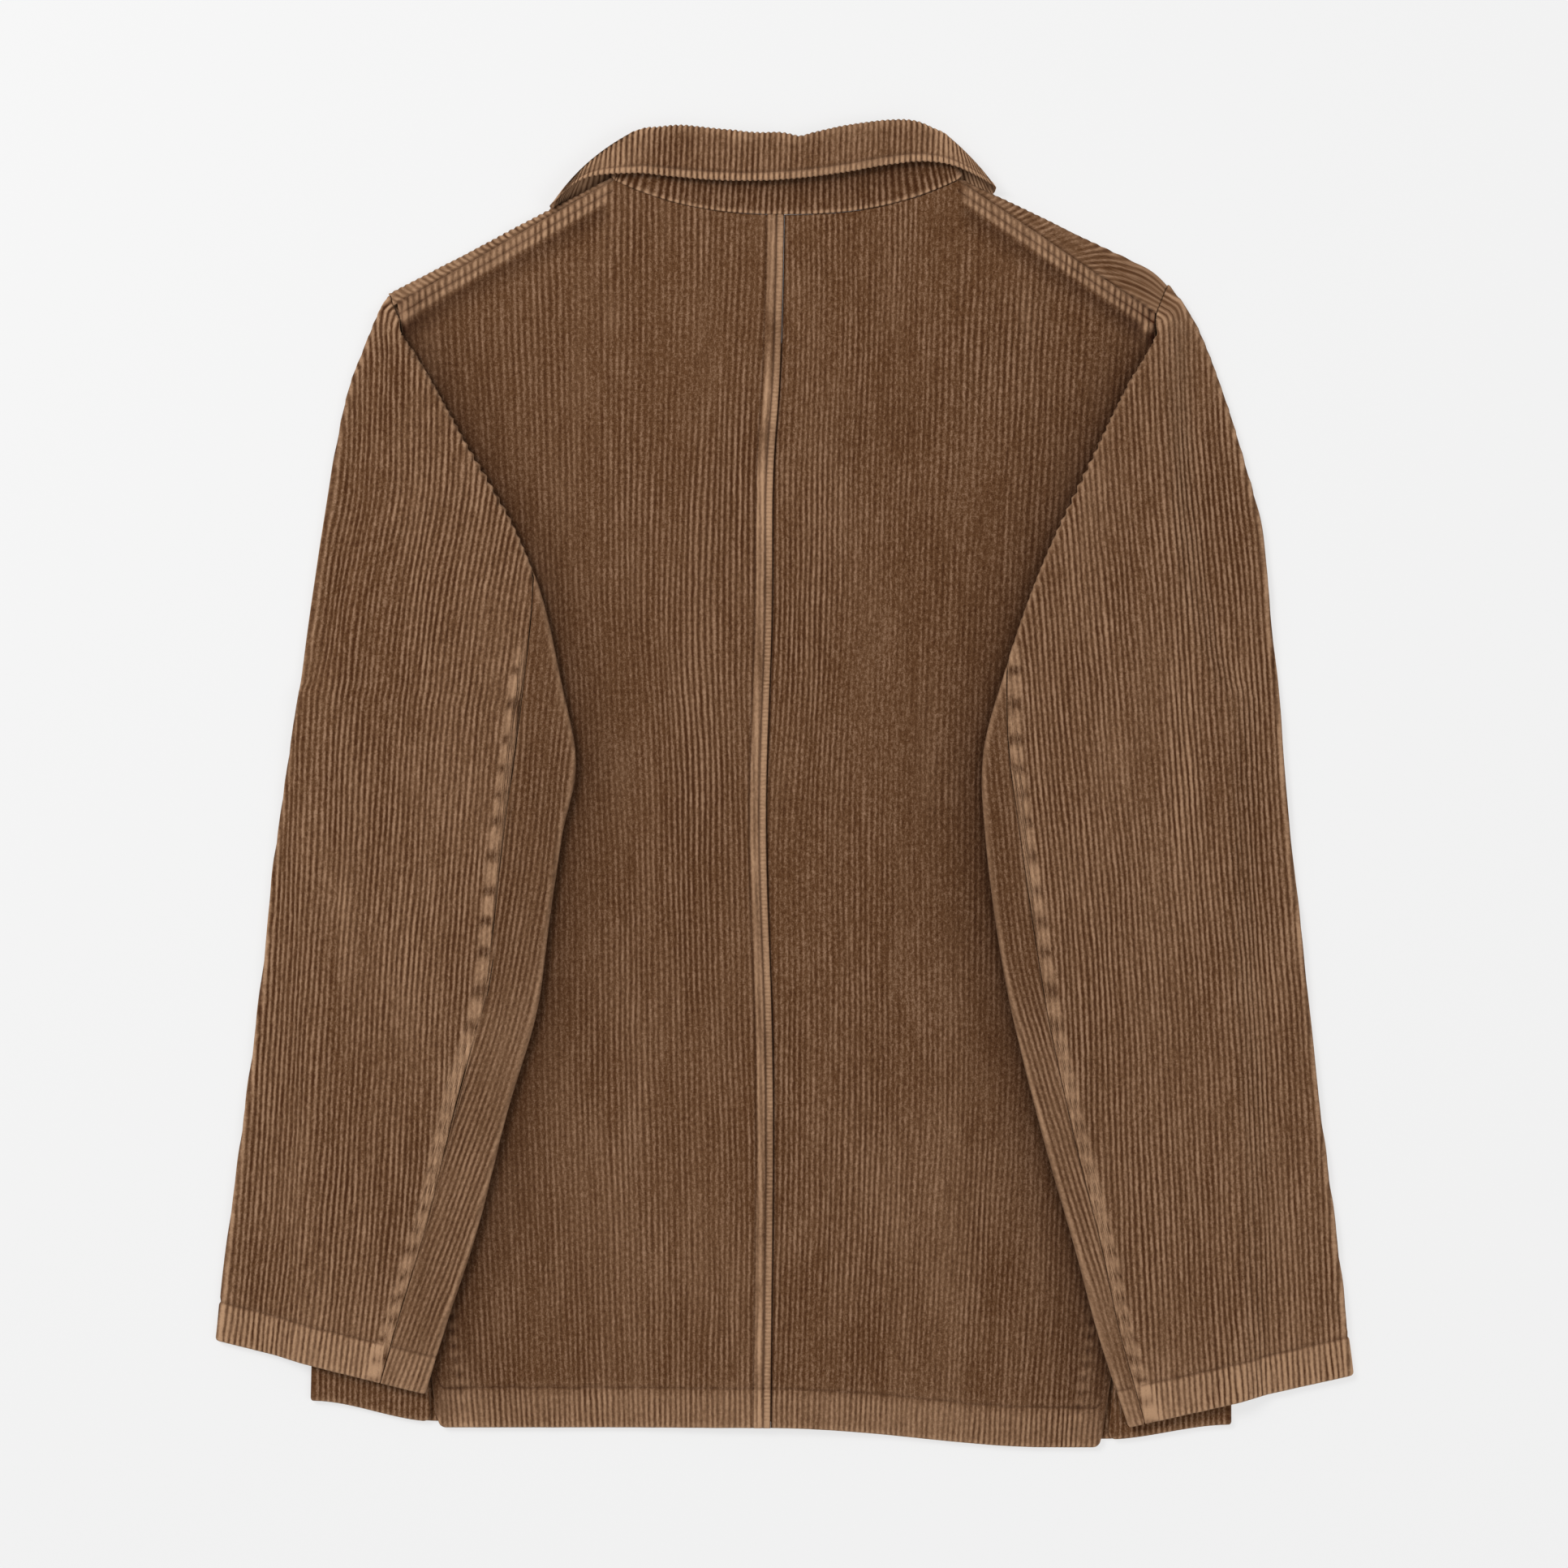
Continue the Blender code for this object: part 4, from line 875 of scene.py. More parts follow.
class Section:
    """A section of a sleeve: from the body's side below it, round the outer fold and the crease."""

    def __init__(self, name, s):
        self.side = side = SIDES[name]
        table = np.array(SLEEVES[name], float)
        outer_x, outer_y, inner_x, inner_y, elbow, front = (
            float(along(s, list(enumerate(column)))) for column in table.T
        )
        self.outer = np.array([outer_x, outer_y])
        self.run, self.width = heading(self.outer, (inner_x, inner_y))
        self.above = s > side.arm_mark
        self.aside = 1 - float(ease((s - 12.8) / 0.9))  # the crease runs out at the shoulder point
        self.raised = 1 - float(ease((s - 13.4) / 1.3))  # and there the cloth comes down
        self.front_slit, self.back_slit = self.slit(side.front_lean), self.slit(side.back_lean)
        self.inset = min(WALL + SLEEVE_ROLL_OUT, 0.4 * self.width)
        self.join()
        fold_in = self.at_inner if self.aside > 0.02 else self.total
        self.front_seam = self.at_outer - front
        self.elbow_seam = fold_in - elbow
        self.seam_gap = SEAM / 2 + 0.1 + SEAM * float(ease(1 - abs(elbow) / 9))

    def place(self, q):
        return self.outer[0] + self.run[0] * q, self.outer[1] + self.run[1] * q

    def slit(self, lean):
        """Distance from the outer edge at which the section meets the side or the armhole."""
        q = np.linspace(0, self.width, 800)
        inside = q[edge_out(self.side, *self.place(q), lean) <= 0]
        return inside[0] if len(inside) else self.width

    def lower(self, q, on_back):
        x, y = self.place(q)
        start = min(13.0, self.front_slit - 1.5)
        out = edge_out(self.side, x, y, self.side.back_lean)
        rise = ease((start - out) / (start - 0.8))
        if self.above:
            rise = np.ones_like(q) if on_back else rise * (1 - ease((y - ARM_Y) / 18))
        return WALL + rise * (back_inside(x, y) + WALL + LAY)

    def upper(self, q):
        x, y = self.place(q)
        rise = ease((24 - edge_out(self.side, x, y, self.side.back_lean)) / 22)
        flat = 2 * SLEEVE_ROLL_OUT
        gap = flat + (2 * SLEEVE_ROLL_IN - flat) * ease(q / self.width * 1.6)
        high = back_inside(x, y) + self.raised * (2 * WALL + LAY + gap)
        return WALL + flat + rise * (high - WALL - flat)

    def join(self):
        """Puts the under side, the folds and the upper side together, with lengths along them."""
        front, back = self.front_slit - SEAM - 0.1, self.back_slit - SEAM - 0.1
        stop = self.aside * (self.width - WALL - SLEEVE_ROLL_IN) + (1 - self.aside) * back
        stop = max(stop, self.inset + 0.5)
        under_q = np.linspace(max(front, self.inset + 0.1), self.inset, UNDER)
        upper_q = np.linspace(self.inset, stop, UPPER)
        back_q = np.linspace(stop, min(back if self.above else front, stop), ON_BACK)
        under_z, upper_z = self.lower(under_q, False), self.upper(upper_q)
        back_z = self.lower(back_q, True) * self.aside + upper_z[-1] * (1 - self.aside)
        turn = math.pi * even(TURNED)[:, 0]
        out_q = self.inset - (self.inset - min(WALL, 0.2 * self.width)) * np.sin(turn)
        in_q = stop + max(SLEEVE_ROLL_IN * self.aside, 0.05) * np.sin(turn)
        out_z, in_z = (
            (low + high) / 2 + (low - high) / 2 * np.cos(turn)
            for low, high in ((under_z[-1], upper_z[0]), (upper_z[-1], back_z[0]))
        )
        self.q = np.concatenate([under_q, out_q, upper_q, in_q, back_q])
        self.z = np.concatenate([under_z, out_z, upper_z, in_z, back_z])
        self.length = lengths(together(self.q, self.z))
        self.total = self.length[-1]
        self.at_outer = self.length[UNDER + TURNED // 2]
        self.at_inner = self.length[UNDER + TURNED + UPPER + TURNED // 2]

    def point(self, at):
        """Points and outward directions at these lengths along the section."""
        step = 0.12
        (q, z), (q_ahead, z_ahead), (q_behind, z_behind) = (
            (np.interp(spot, self.length, self.q), np.interp(spot, self.length, self.z))
            for spot in (at, np.minimum(at + step, self.total), np.maximum(at - step, 0))
        )
        dq, dz = q_ahead - q_behind, z_ahead - z_behind
        size = np.maximum(np.hypot(dq, dz), 1e-9)
        across = -dz / size
        points = together(*self.place(q), z)
        return points, together(self.run[0] * across, self.run[1] * across, dq / size)


def at_marks(marks, values):
    """Values given for every section, read at these marks along the sleeve."""
    return np.interp(marks, SLEEVE_MARKS, values)


def by_column(marks, table):
    """A table of sections by columns, read at each column's own marks."""
    return np.stack([at_marks(m, column) for m, column in zip(marks.T, table.T)], axis=1)


class SleeveTable:
    """The cloth of one piece of a sleeve, ready to be laid out in rows along its own columns."""

    def __init__(self, rings, places):
        made = [ring.point(at) for ring, at in zip(rings, places)]
        self.points, self.directions = (np.array(grid) for grid in zip(*made))
        self.length = lengths(self.points)

    def rows(self, low, high, low_rows, high_rows, middle, from_crease=None):
        """Row marks for every column between its own low and high marks, and their lengths."""
        begin, end = (by_column(marks[None], self.length)[0] for marks in (low, high))
        shares = even(middle)
        if from_crease is not None:
            columns = zip(begin, end, self.length.T, from_crease.T)
            shares = np.array([self.crowded(*column, shares[:, 0]) for column in columns]).T
        run = row_places(begin, end, low_rows, high_rows, shares)
        marks = [np.interp(at, length, SLEEVE_MARKS) for at, length in zip(run.T, self.length.T)]
        return np.array(marks).T, run - begin, end - run

    def crowded(self, begin, end, length, from_crease, shares):
        """Shares that put more rows where the cloth turns over the crease."""
        t = np.linspace(0, 1, 600)
        weight = 1 + 5 * hump(np.interp(begin + t * (end - begin), length, from_crease), 4.0)
        total = np.concatenate([[0], np.cumsum((weight[1:] + weight[:-1]) / 2)])
        return np.interp(shares, total / total[-1], t)

    def at(self, marks):
        """Points and directions at each column's row marks."""
        for grid in (self.points, self.directions):
            yield np.stack([by_column(marks, grid[..., k]) for k in range(3)], axis=-1)


def reach_of(limits, places):
    """Lowest and highest mark at which each place lies within the limits along the sleeve."""
    peak = int(np.argmax(limits))
    low = np.interp(places, limits[: peak + 1], SLEEVE_MARKS[: peak + 1])
    high = np.interp(-places, -limits[peak:], SLEEVE_MARKS[peak:])
    return np.where(places <= limits[0], SLEEVE_MARKS[0], low), high


def opened(rings, marks, across):
    """Where the cloth would lie with its folds opened out, unrolled about the shoulder point."""
    x, y = (
        at_marks(marks, [r.outer[k] for r in rings])
        + at_marks(marks, [r.run[k] for r in rings]) * across
        for k in (0, 1)
    )
    side = rings[0].side
    tip_x, tip_y = side.tip
    beyond = (y > tip_y) & ((x - tip_x) * side.sign > 0)
    x = np.where(beyond, tip_x + side.sign * np.hypot(x - tip_x, y - tip_y), x)
    return x, np.where(beyond, tip_y, y)


def top_sleeve_lay(name, rings):
    at_outer = np.array([r.at_outer for r in rings])
    starts = [r.front_seam + r.seam_gap if r.front_seam > 0 else 0.0 for r in rings]
    stops = np.array([min(r.elbow_seam - r.seam_gap, r.total) for r in rings]) - at_outer
    d = fine_columns(OUTER_BEND[0], float(stops.max()) - 0.2, extra=OUTER_BEND[1:])
    places = []
    for outer, start in zip(at_outer, starts):
        room = outer - start
        fine = np.where(d < 0, d * min(1.0, 0.8 * room / 2.0), d)
        hidden = start + (room + fine[0]) * np.array([0, 0.2, 0.45, 0.7, 0.9])
        places.append(np.concatenate([hidden, outer + fine]))
    table = SleeveTable(rings, places)
    from_crease = np.array(places) - np.array([[r.at_inner] for r in rings])
    low, high = reach_of(stops, d)
    low, high = (np.pad(ends, (5, 0), constant_values=end) for ends, end in ((low, 0), (high, 16)))
    marks, from_cuff, from_top = table.rows(
        low, high, CUFF_ROWS, ARM_ROWS, TOP_SLEEVE_ROWS, from_crease
    )
    out = np.concatenate([-30 + np.arange(5) * WALE, d])
    flat_x, flat_y = opened(rings, marks, out)
    lay = Lay(*table.at(marks), guided_wales(f"top_sleeve_{name}", flat_x, flat_y), flat_y)
    to_seam = at_marks(marks, stops) - out
    at_cuff = marks < 1.0
    from_cuff = np.where(low == 0, from_cuff, FAR)
    wander = 0.5 * uneven(out, 0 * out, 12, 1, 8)
    cuff = lay.turned_up(from_cuff, out, CUFF_DEEP, at_cuff, wander)
    lay.wear += 0.13 + 0.4 * cuff + 0.2 * ease((55 - from_cuff) / 45) * at_cuff
    lay.wear += 0.36 * hump(from_cuff, 2.0) + 0.38 * hump(out - 1.0, 2.4)
    to_crease = by_column(marks, from_crease)
    creased = ease((13.2 - marks) / 0.8) * ease((marks - 7.4) / 0.6)
    # along the crease's upturned edge: partly wear from rubbing, partly painted highlight
    lay.wear += 0.6 * creased * hump(to_crease + 1.5, 1.3)
    lay.pile *= 1 - 0.85 * creased * hump(to_crease + 0.3, 2.0)
    # a narrow section has no room for the whole pile
    slim = np.clip(at_marks(marks, [r.width for r in rings]) / 9, 0.15, 1)
    lay.thick *= slim
    lay.pile *= slim
    # puckers along the elbow seam, with painted shade in the gaps between them
    below = flat_y <= MID_FOREARM
    beats = (flat_y - MID_FOREARM) / np.where(below, *ELBOW_PUCKERS[::-1])
    swing = np.cos(2 * math.pi * beats + 0.9 * np.sin(flat_y / 31) + 0.7 * np.sin(flat_y / 13))
    blob = ease((swing + 0.9) / 0.6)
    band = ease(to_seam / 0.6) * ease((10.0 - to_seam) / 3.5) * ease((8.6 - marks) / 0.6)
    lay.rise += (blob - 0.4) * 0.7 * band
    lay.wear += np.where(below, 0.95, 0.75) * blob * band + 0.5 * cuff * ease((12 - to_seam) / 1.0)
    lay.pile *= 1 - band * (0.35 + 0.35 * blob)
    # painted shade in the gaps between the puckers
    lay.deep += 0.34 * (1 - blob) * band
    for edge in (from_cuff, to_seam, from_top):
        lay.rounded(edge)
    worn(lay, FOLDS[f"top_sleeve_{name}"], seed=20, crisp=1.08)
    return [lay]


def under_sleeve_lay(name, rings):
    """The strip that shows inside the crease, then the hidden rest round to the front seam."""
    arm = SIDES[name].arm_mark
    at_inner = np.array([r.at_inner for r in rings])
    starts = np.array([r.elbow_seam + r.seam_gap for r in rings]) - at_inner
    crease_end = CREASE_BEND[-1]
    e = fine_columns(float(starts.min()) + 0.2, crease_end, extra=CREASE_BEND[:-1])
    strip = SleeveTable(rings, at_inner[:, None] + e)
    low, high = reach_of(-starts, -e)
    marks, from_cuff, _ = strip.rows(low, high, CUFF_ROWS, ARM_ROWS, UNDER_SLEEVE_ROWS)
    split = int(np.argmin(np.abs(marks[:, -1] - arm)))
    marks[split, -1] = arm
    flat_x, flat_y = opened(rings, marks, at_marks(marks, [r.width for r in rings]) + e)
    lay = Lay(*strip.at(marks), guided_wales(f"under_sleeve_{name}", flat_x, flat_y), flat_y)
    to_seam = e - at_marks(marks, starts)
    from_cuff = np.where(low == 0, from_cuff, FAR)
    lay.turned_up(from_cuff, e, CUFF_DEEP, ease((-e - 2) / 3))
    lay.wear += 0.22 * ease((CUFF_DEEP - from_cuff) / 1.5) + 0.4 * hump(from_cuff, 2.0)
    lay.wear += 0.15 * ease((55 - from_cuff) / 45) + 0.2 * ease((-100 - flat_y) / 60)
    # last term: along the crease's upturned edge, partly wear from rubbing, partly painted
    # highlight
    lay.wear += 0.08 + 0.12 * hump(to_seam, 2.5) + 0.65 * hump(e + 1.5, 1.3)
    lay.pile *= 1 - 0.8 * hump(e + 0.3, 2.0)
    lay.rounded(from_cuff)
    lay.rounded(to_seam)
    worn(lay, seed=30, crisp=0.78)
    lay.deep += 0.1
    # the hidden rest, from the crease to the body's side and on to the front seam
    begin = np.maximum(crease_end, starts)
    to_side = np.array([r.total for r in rings]) - at_inner - begin
    to_front = np.array([r.front_seam - r.seam_gap for r in rings])
    plies = [lay]
    for start, room, least, shares, shared in (
        (at_inner + begin, to_side, 4, (0, 0.25, 0.5, 0.75, 1), marks[:, -1]),
        (0 * at_inner, to_front, 3, (0, 0.15, 0.4, 0.7, 1), marks[: split + 1, -1]),
    ):
        shares = np.array(shares)
        table = SleeveTable(rings, start[:, None] + room[:, None] * shares)
        end = SLEEVE_MARKS[np.nonzero(room > least)[0][-1]]
        rows = np.concatenate([shared, np.linspace(shared[-1], end, HIDDEN_ROWS)[1:]])[:, None]
        ply = Lay(*table.at(np.repeat(rows, 5, axis=1)), shares * 4 * WALE, rows)
        for mine, its in ((ply.points, plies[-1].points), (ply.directions, plies[-1].directions)):
            mine[: len(shared), 0] = its[: len(shared), -1]
        plies.append(ply)
    return plies


# ---- the collar
def collar_curve(t, column):
    """Smooth along each stretch, and straight across the rows where it turns over."""
    for turn in (LEFT_TURN, RIGHT_TURN):
        if turn <= t <= turn + 1:
            return column[turn] + (t - turn) * (column[turn + 1] - column[turn])
    stretches = np.split(np.arange(len(column)), [LEFT_TURN + 1, RIGHT_TURN + 1])
    part = stretches[int(t > LEFT_TURN) + int(t > RIGHT_TURN)]
    return along(t, list(zip(part, column[part])))


def collar_section(t):
    """The collar at mark t: where it turns over, its edge, and the ways down and out from there."""
    table = np.array(COLLAR, float)
    neck_x, fold_x, fold_y, edge_x, edge_y = (float(collar_curve(t, c)) for c in table.T[:5])
    turn = math.radians(np.interp(t, np.arange(len(table)), table[:, 5]))
    ripple = sum(rise * float(hump(fold_x - at, wide)) for at, wide, rise in COLLAR_RIPPLES)
    fold, edge = np.array([fold_x, fold_y + ripple]), np.array([edge_x, edge_y])
    down, length = heading(fold, edge)
    out = np.array([-down[1], down[0]]) * np.sign(-down[1] * fold[0])
    roll = LEAF_ROLL_FRONT + (LEAF_ROLL - LEAF_ROLL_FRONT) * (1 + math.cos(turn)) / 2
    return SimpleNamespace(
        neck_x=neck_x, fold=fold, edge=edge, turn=turn, down=down, length=length, out=out, roll=roll
    )


def collar_line(marks, which):
    """The collar's fold or edge at these marks, and the length up to each of them."""
    places = np.array([getattr(collar_section(t), which) for t in marks])
    return places, lengths(places)


def collar_marks(shown, turned):
    """Marks all round the collar: the shown ones, and a few where it turns under and is hidden."""
    turn = np.linspace(0, 0.27, turned)
    before, after = [0, 1, 2, 3, 4, 4.5], [18.5, 19, 20, 21, 22, 23]
    return np.concatenate([before, LEFT_TURN + turn, shown, RIGHT_TURN + 1 - turn[::-1], after])


SHOWN_MARKS = np.linspace(LEFT_TURN + 0.3, RIGHT_TURN + 0.7, 800)  # where the collar shows


def stand_lay():
    _, length = collar_line(SHOWN_MARKS, "fold")
    wales = wale_columns(0.0, float(length[-1]))
    marks = collar_marks(np.interp(wales, length, SHOWN_MARKS), 4)
    wales = np.pad(wales, 10, constant_values=(-WALE, wales[-1] + WALE))
    points, directions, run = [], [], []
    for t in marks:
        c = collar_section(t)
        to_turn = min(abs(t - LEFT_TURN - 0.5), abs(t - RIGHT_TURN - 0.5))
        clear = SEAM + STAND_CLEAR * float(ease(2.2 - to_turn))
        top = c.fold + c.down * (c.roll + WALL + clear)
        neck_x = NECK_X + np.clip(c.neck_x - NECK_X, -NECK_HALF, NECK_HALF)
        back, front = neck_heights(neck_x)
        neck = np.array([neck_x, front + (back - front) * (1 + math.cos(c.turn)) / 2])
        neck += heading(neck, top)[0] * SEAM * (0.9 + 2.5 * math.sin(c.turn / 2))
        neck[1] += (WALL + ROLL + 2 * SEAM) * math.sqrt(abs(math.sin(c.turn)))
        aside = math.copysign(math.sin(c.turn), c.fold[0])
        x, y = (neck + (top - neck) * STAND_SHARES[:, None]).T
        x = x + aside * ROLL
        low = WALL + front_lift(x, y) + overlap_lift(x, y) * (x > 0)
        high = back_inside(x, y)
        points.append(together(x, y, (low + high) / 2 + (high - low) / 2 * math.cos(c.turn)))
        directions.append(together(aside, 0 * x, math.cos(c.turn)))
        run.append(STAND_SHARES * heading(neck, top)[1])
    lay = Lay(np.array(points), np.array(directions), wales[:, None], np.array(run))
    lay.rise += 0.5 * hump(lay.run - 0.8, 1.2)
    # painted shade under the collar's leaf, darkest toward the stand's top
    lay.deep += 0.1 + 0.28 * ease((lay.run - 8) / 8)
    lay.wear += 1.0 * hump(lay.run - 0.5, 1.4)
    lay.pile *= 1.3
    return [lay]


def leaf_wales(x, y):
    """Wale lines that stand on the leaf's edge, upright at the back and slanting at its ends."""
    edge, length = collar_line(np.linspace(LEFT_TURN + 1, RIGHT_TURN, 600), "edge")
    foot = x.copy()  # where the line through each point stands on the edge, found in a few steps
    for _ in range(12):
        slant = 30 * ease((-98 - foot) / 42) - 34 * ease((foot - 92) / 38) + 2
        above = y - np.interp(foot, edge[:, 0], edge[:, 1])
        foot += 0.6 * (x - above * np.tan(np.radians(slant)) - foot)
    before, after = np.minimum(foot - edge[0, 0], 0), np.maximum(foot - edge[-1, 0], 0)
    return np.interp(foot, edge[:, 0], length) + 1.4 * (before + after)


def leaf_lay():
    _, length = collar_line(SHOWN_MARKS, "edge")
    shown = np.interp(np.linspace(0, length[-1], LEAF_COLUMNS), length, SHOWN_MARKS)
    angle = math.pi * ROLL_SHARES
    flat = np.zeros(LEAF_ROWS + len(LEAF_EDGE_ROWS))
    lean_back = np.concatenate([-np.sin(angle), flat])
    lean_out = np.concatenate([-np.cos(angle), flat + 1])
    points, directions, from_edge = [], [], []
    for t in collar_marks(shown, 6):
        c = collar_section(t)
        cos, sin = math.cos(c.turn), math.sin(c.turn)
        start = c.roll + WALL
        depth = np.concatenate([-c.roll * (1 + np.cos(angle)), flat])
        ahead = np.concatenate([
            start - c.roll * np.sin(angle),
            start + (c.length - 13 - start) * np.linspace(0, 1, LEAF_ROWS),
            c.length - LEAF_EDGE_ROWS[::-1],
        ])
        end = min(abs(t - LEFT_TURN - 1), abs(t - RIGHT_TURN))
        inner_end = max(LEFT_TURN + 1 - t, t - RIGHT_TURN, 0)
        over = (WALL + LEAF_TURN) * float(ease(1 - end)) * (1 - sin) * (cos > 0)
        bow = SIDES["right" if t > 11 else "left"].bow
        bow *= ease(1 - end / 2) * ease((1 - inner_end) / 0.4)
        x, y = (c.fold + c.down * ahead[:, None]).T
        high = back_inside(x, y) + WALL + 2 * LEAF_ROLL
        lifted = LEAF_EDGE_LIFT * max(cos, 0) * ease((ahead / c.length - 0.4) / 0.6)
        z = (WALL + high) / 2 + ((high - WALL) / 2 + depth) * cos + lifted
        bulge = bow * np.sin(math.pi * np.minimum(ahead / c.length, 1))
        aside = (LEAF_TURN + depth) * sin + over + bulge
        points.append(together(x + c.out[0] * aside, y + c.out[1] * aside, z))
        way = c.down * lean_back[:, None] + c.out * sin * lean_out[:, None]
        directions.append(together(*way.T, lean_out * cos))
        from_edge.append(c.length - ahead)
    points, from_edge = np.array(points), np.array(from_edge)
    run = np.array([lengths(line) for line in points])
    lay = Lay(points, np.array(directions), leaf_wales(points[..., 0], points[..., 1]), run)
    from_edge[:, : len(angle)] = FAR
    # the wales' ends make the edge a little wavy
    lay.points[..., 1] -= 0.7 * (lay.ridge() - 0.6) * hump(from_edge, 2.0) * lay.upward()
    lay.rounded(from_edge)
    lay.stitched(from_edge - LEAF_STITCH, lay.wale, 0.9)
    lay.wear += 0.6 * ease((5.6 - from_edge) / 1.2) + 0.3 * hump(from_edge, 1.5)
    lay.wear += 0.3 * hump(lay.run - 4, 3.0)
    lay.wear += 0.16 + 0.55 * ease((np.abs(lay.points[..., 0]) - 72) / 30)
    lay.thick += 0.3 * ease(LEAF_STITCH - from_edge)
    worn(lay, seed=50, crisp=1.05)
    return [lay]


# ---- finishes
def to_linear(hex_colour):
    """An sRGB hex colour as linear light."""
    parts = [int(hex_colour[i : i + 2], 16) / 255 for i in (1, 3, 5)]
    return [p / 12.92 if p <= 0.04045 else ((p + 0.055) / 1.055) ** 2.4 for p in parts] + [1.0]


def add(tree, kind, inputs=(), **settings):
    """Adds one node with its settings, and gives its inputs values or links."""
    node = tree.nodes.new(f"ShaderNode{kind}")
    for name, value in settings.items():
        setattr(node, name, value)
    for name, value in inputs.items() if isinstance(inputs, dict) else enumerate(inputs):
        if isinstance(value, bpy.types.Node):
            value = next(socket for socket in value.outputs if socket.enabled)
        if isinstance(value, bpy.types.NodeSocket):
            tree.links.new(value, node.inputs[name])
        else:
            node.inputs[name].default_value = value
    return node


def shader_of(material, **values):
    """The material's own shader, with these values on its sockets."""
    material.use_nodes = True
    shader = material.node_tree.nodes["Principled BSDF"]
    for name, value in values.items():
        shader.inputs[name.replace("_", " ")].default_value = value
    return shader


GROOVE_DYE_AND_SHADE, SIDE_OF_WALE, TOP_OF_WALE, FADED = "#4A2A14", "#66452B", "#A07E64", "#BD9675"
PAINTED_SHADE_TINT, FUZZ = "#6E4F3B", "#D9B48F"
SPECKLES = {  # size across the wales in mm, how much longer along them, detail, share in the tone
    "fuzz": (0.7, 1.2, 3.0, 1.1),
    "tuft": (1.5, 1.8, 2.0, 1.0),
    "patch": (4.5, 3.2, 2.0, 0.18),
    "streak": (2.9, 13.0, 3.0, 0.45),
    "cloud": (34.0, 2.6, 4.0, 0.24),
    "waver": (2.4, 4.0, 2.0, 0.0),
}


def washed_cotton_corduroy(name, seed):
    """Washed cotton corduroy: its weft is woven in tufts, cut to ridges and brushed.

    That gives matt grooves between fuzzy ridges. Their dark colour is the ground's dye with painted
    shade. Washing faded it where it was rubbed, first on the ridges. Painted shade darkens it at
    seams and stitches, in hollows, under the collar's leaf and beside the sleeves.
    """
    material = bpy.data.materials.new(name)
    shader = shader_of(
        material,
        Roughness=0.95,
        Specular_IOR_Level=0.12,
        Sheen_Weight=0.12,
        Sheen_Roughness=0.5,
        Sheen_Tint=to_linear(FUZZ),
    )
    tree = material.node_tree
    cloth = add(tree, "Attribute", attribute_name="cloth").outputs["Vector"]
    look = add(tree, "Attribute", attribute_name="look").outputs["Vector"]
    place = add(tree, "SeparateXYZ", [cloth])
    wear, pile, deep = add(tree, "SeparateXYZ", [look]).outputs
    moved = add(tree, "VectorMath", [cloth, (0, 0, seed * 7.7)], operation="ADD")
    speckle = {}
    for kind, (size, longer, detail, _) in SPECKLES.items():
        grain = (1 / size, 1 / (size * longer), 1.0)
        spread = add(tree, "VectorMath", [moved, grain], operation="MULTIPLY")
        speckle[kind] = add(tree, "TexNoise", {"Vector": spread, "Scale": 1.0, "Detail": detail})
    # -1 on top of a wale, 1 in the groove
    waver = add(tree, "Math", [speckle["waver"], 1.1, place.outputs["X"]], operation="MULTIPLY_ADD")
    turn = add(tree, "Math", [waver, 2 * math.pi / WALE], operation="MULTIPLY")
    swing = add(tree, "Math", [turn], operation="COSINE")
    contrast = add(tree, "Math", [speckle["patch"], 1.1, 0.1], operation="MULTIPLY_ADD")
    contrast = add(tree, "Math", [contrast, pile], operation="MULTIPLY")
    ribs = add(tree, "Math", [swing, contrast], operation="MULTIPLY")
    shares = sum(share for *_, share in SPECKLES.values())
    tone = add(tree, "Math", [ribs, -0.42, 0.44 - shares / 2], operation="MULTIPLY_ADD")
    for kind, (*_, share) in SPECKLES.items():
        tone = add(tree, "Math", [speckle[kind], share, tone], operation="MULTIPLY_ADD")
    # the ramp from groove to wale top is the pile's own tone with painted shade in the grooves
    base = add(tree, "ValToRGB", [tone])
    ramp = base.color_ramp.elements
    ramp[0].color, ramp[1].color = to_linear(GROOVE_DYE_AND_SHADE), to_linear(TOP_OF_WALE)
    ramp.new(0.42).color = to_linear(SIDE_OF_WALE)
    # rubbed on the ridges first
    crest = add(tree, "Math", [ribs, -0.62, 0.62], operation="MULTIPLY_ADD")
    thin = add(tree, "Math", [speckle["tuft"], speckle["streak"]], operation="ADD")
    rubbed = add(tree, "Math", [crest, thin], operation="MULTIPLY")
    rubbed = add(tree, "Math", [rubbed, wear], operation="MULTIPLY", use_clamp=True)
    colours = {0: rubbed, 6: base.outputs["Color"], 7: to_linear(FADED)}
    faded = add(tree, "Mix", colours, data_type="RGBA")
    # painted shade: the deep value multiplies the faded colour toward the shade tint
    colours = {0: deep, 6: faded, 7: to_linear(PAINTED_SHADE_TINT)}
    kept = add(tree, "Mix", colours, data_type="RGBA", blend_type="MULTIPLY")
    tree.links.new(kept.outputs[2], shader.inputs["Base Color"])
    height = add(tree, "Math", [speckle["tuft"], 0.8, speckle["fuzz"]], operation="MULTIPLY_ADD")
    nap = add(tree, "Bump", {"Height": height, "Strength": 0.8, "Distance": 0.0006})
    tree.links.new(nap.outputs["Normal"], shader.inputs["Normal"])
    return material


# ---- meshes
def placed(name, data):
    """Adds an object with this mesh, lamp or camera to the scene."""
    made = bpy.data.objects.new(name, data)
    bpy.context.collection.objects.link(made)
    return made


def finished(mesh, name, material):
    """The mesh as Blender keeps it, in its material."""
    data = bpy.data.meshes.new(name)
    mesh.to_mesh(data)
    mesh.free()
    data.materials.append(material)
    return data


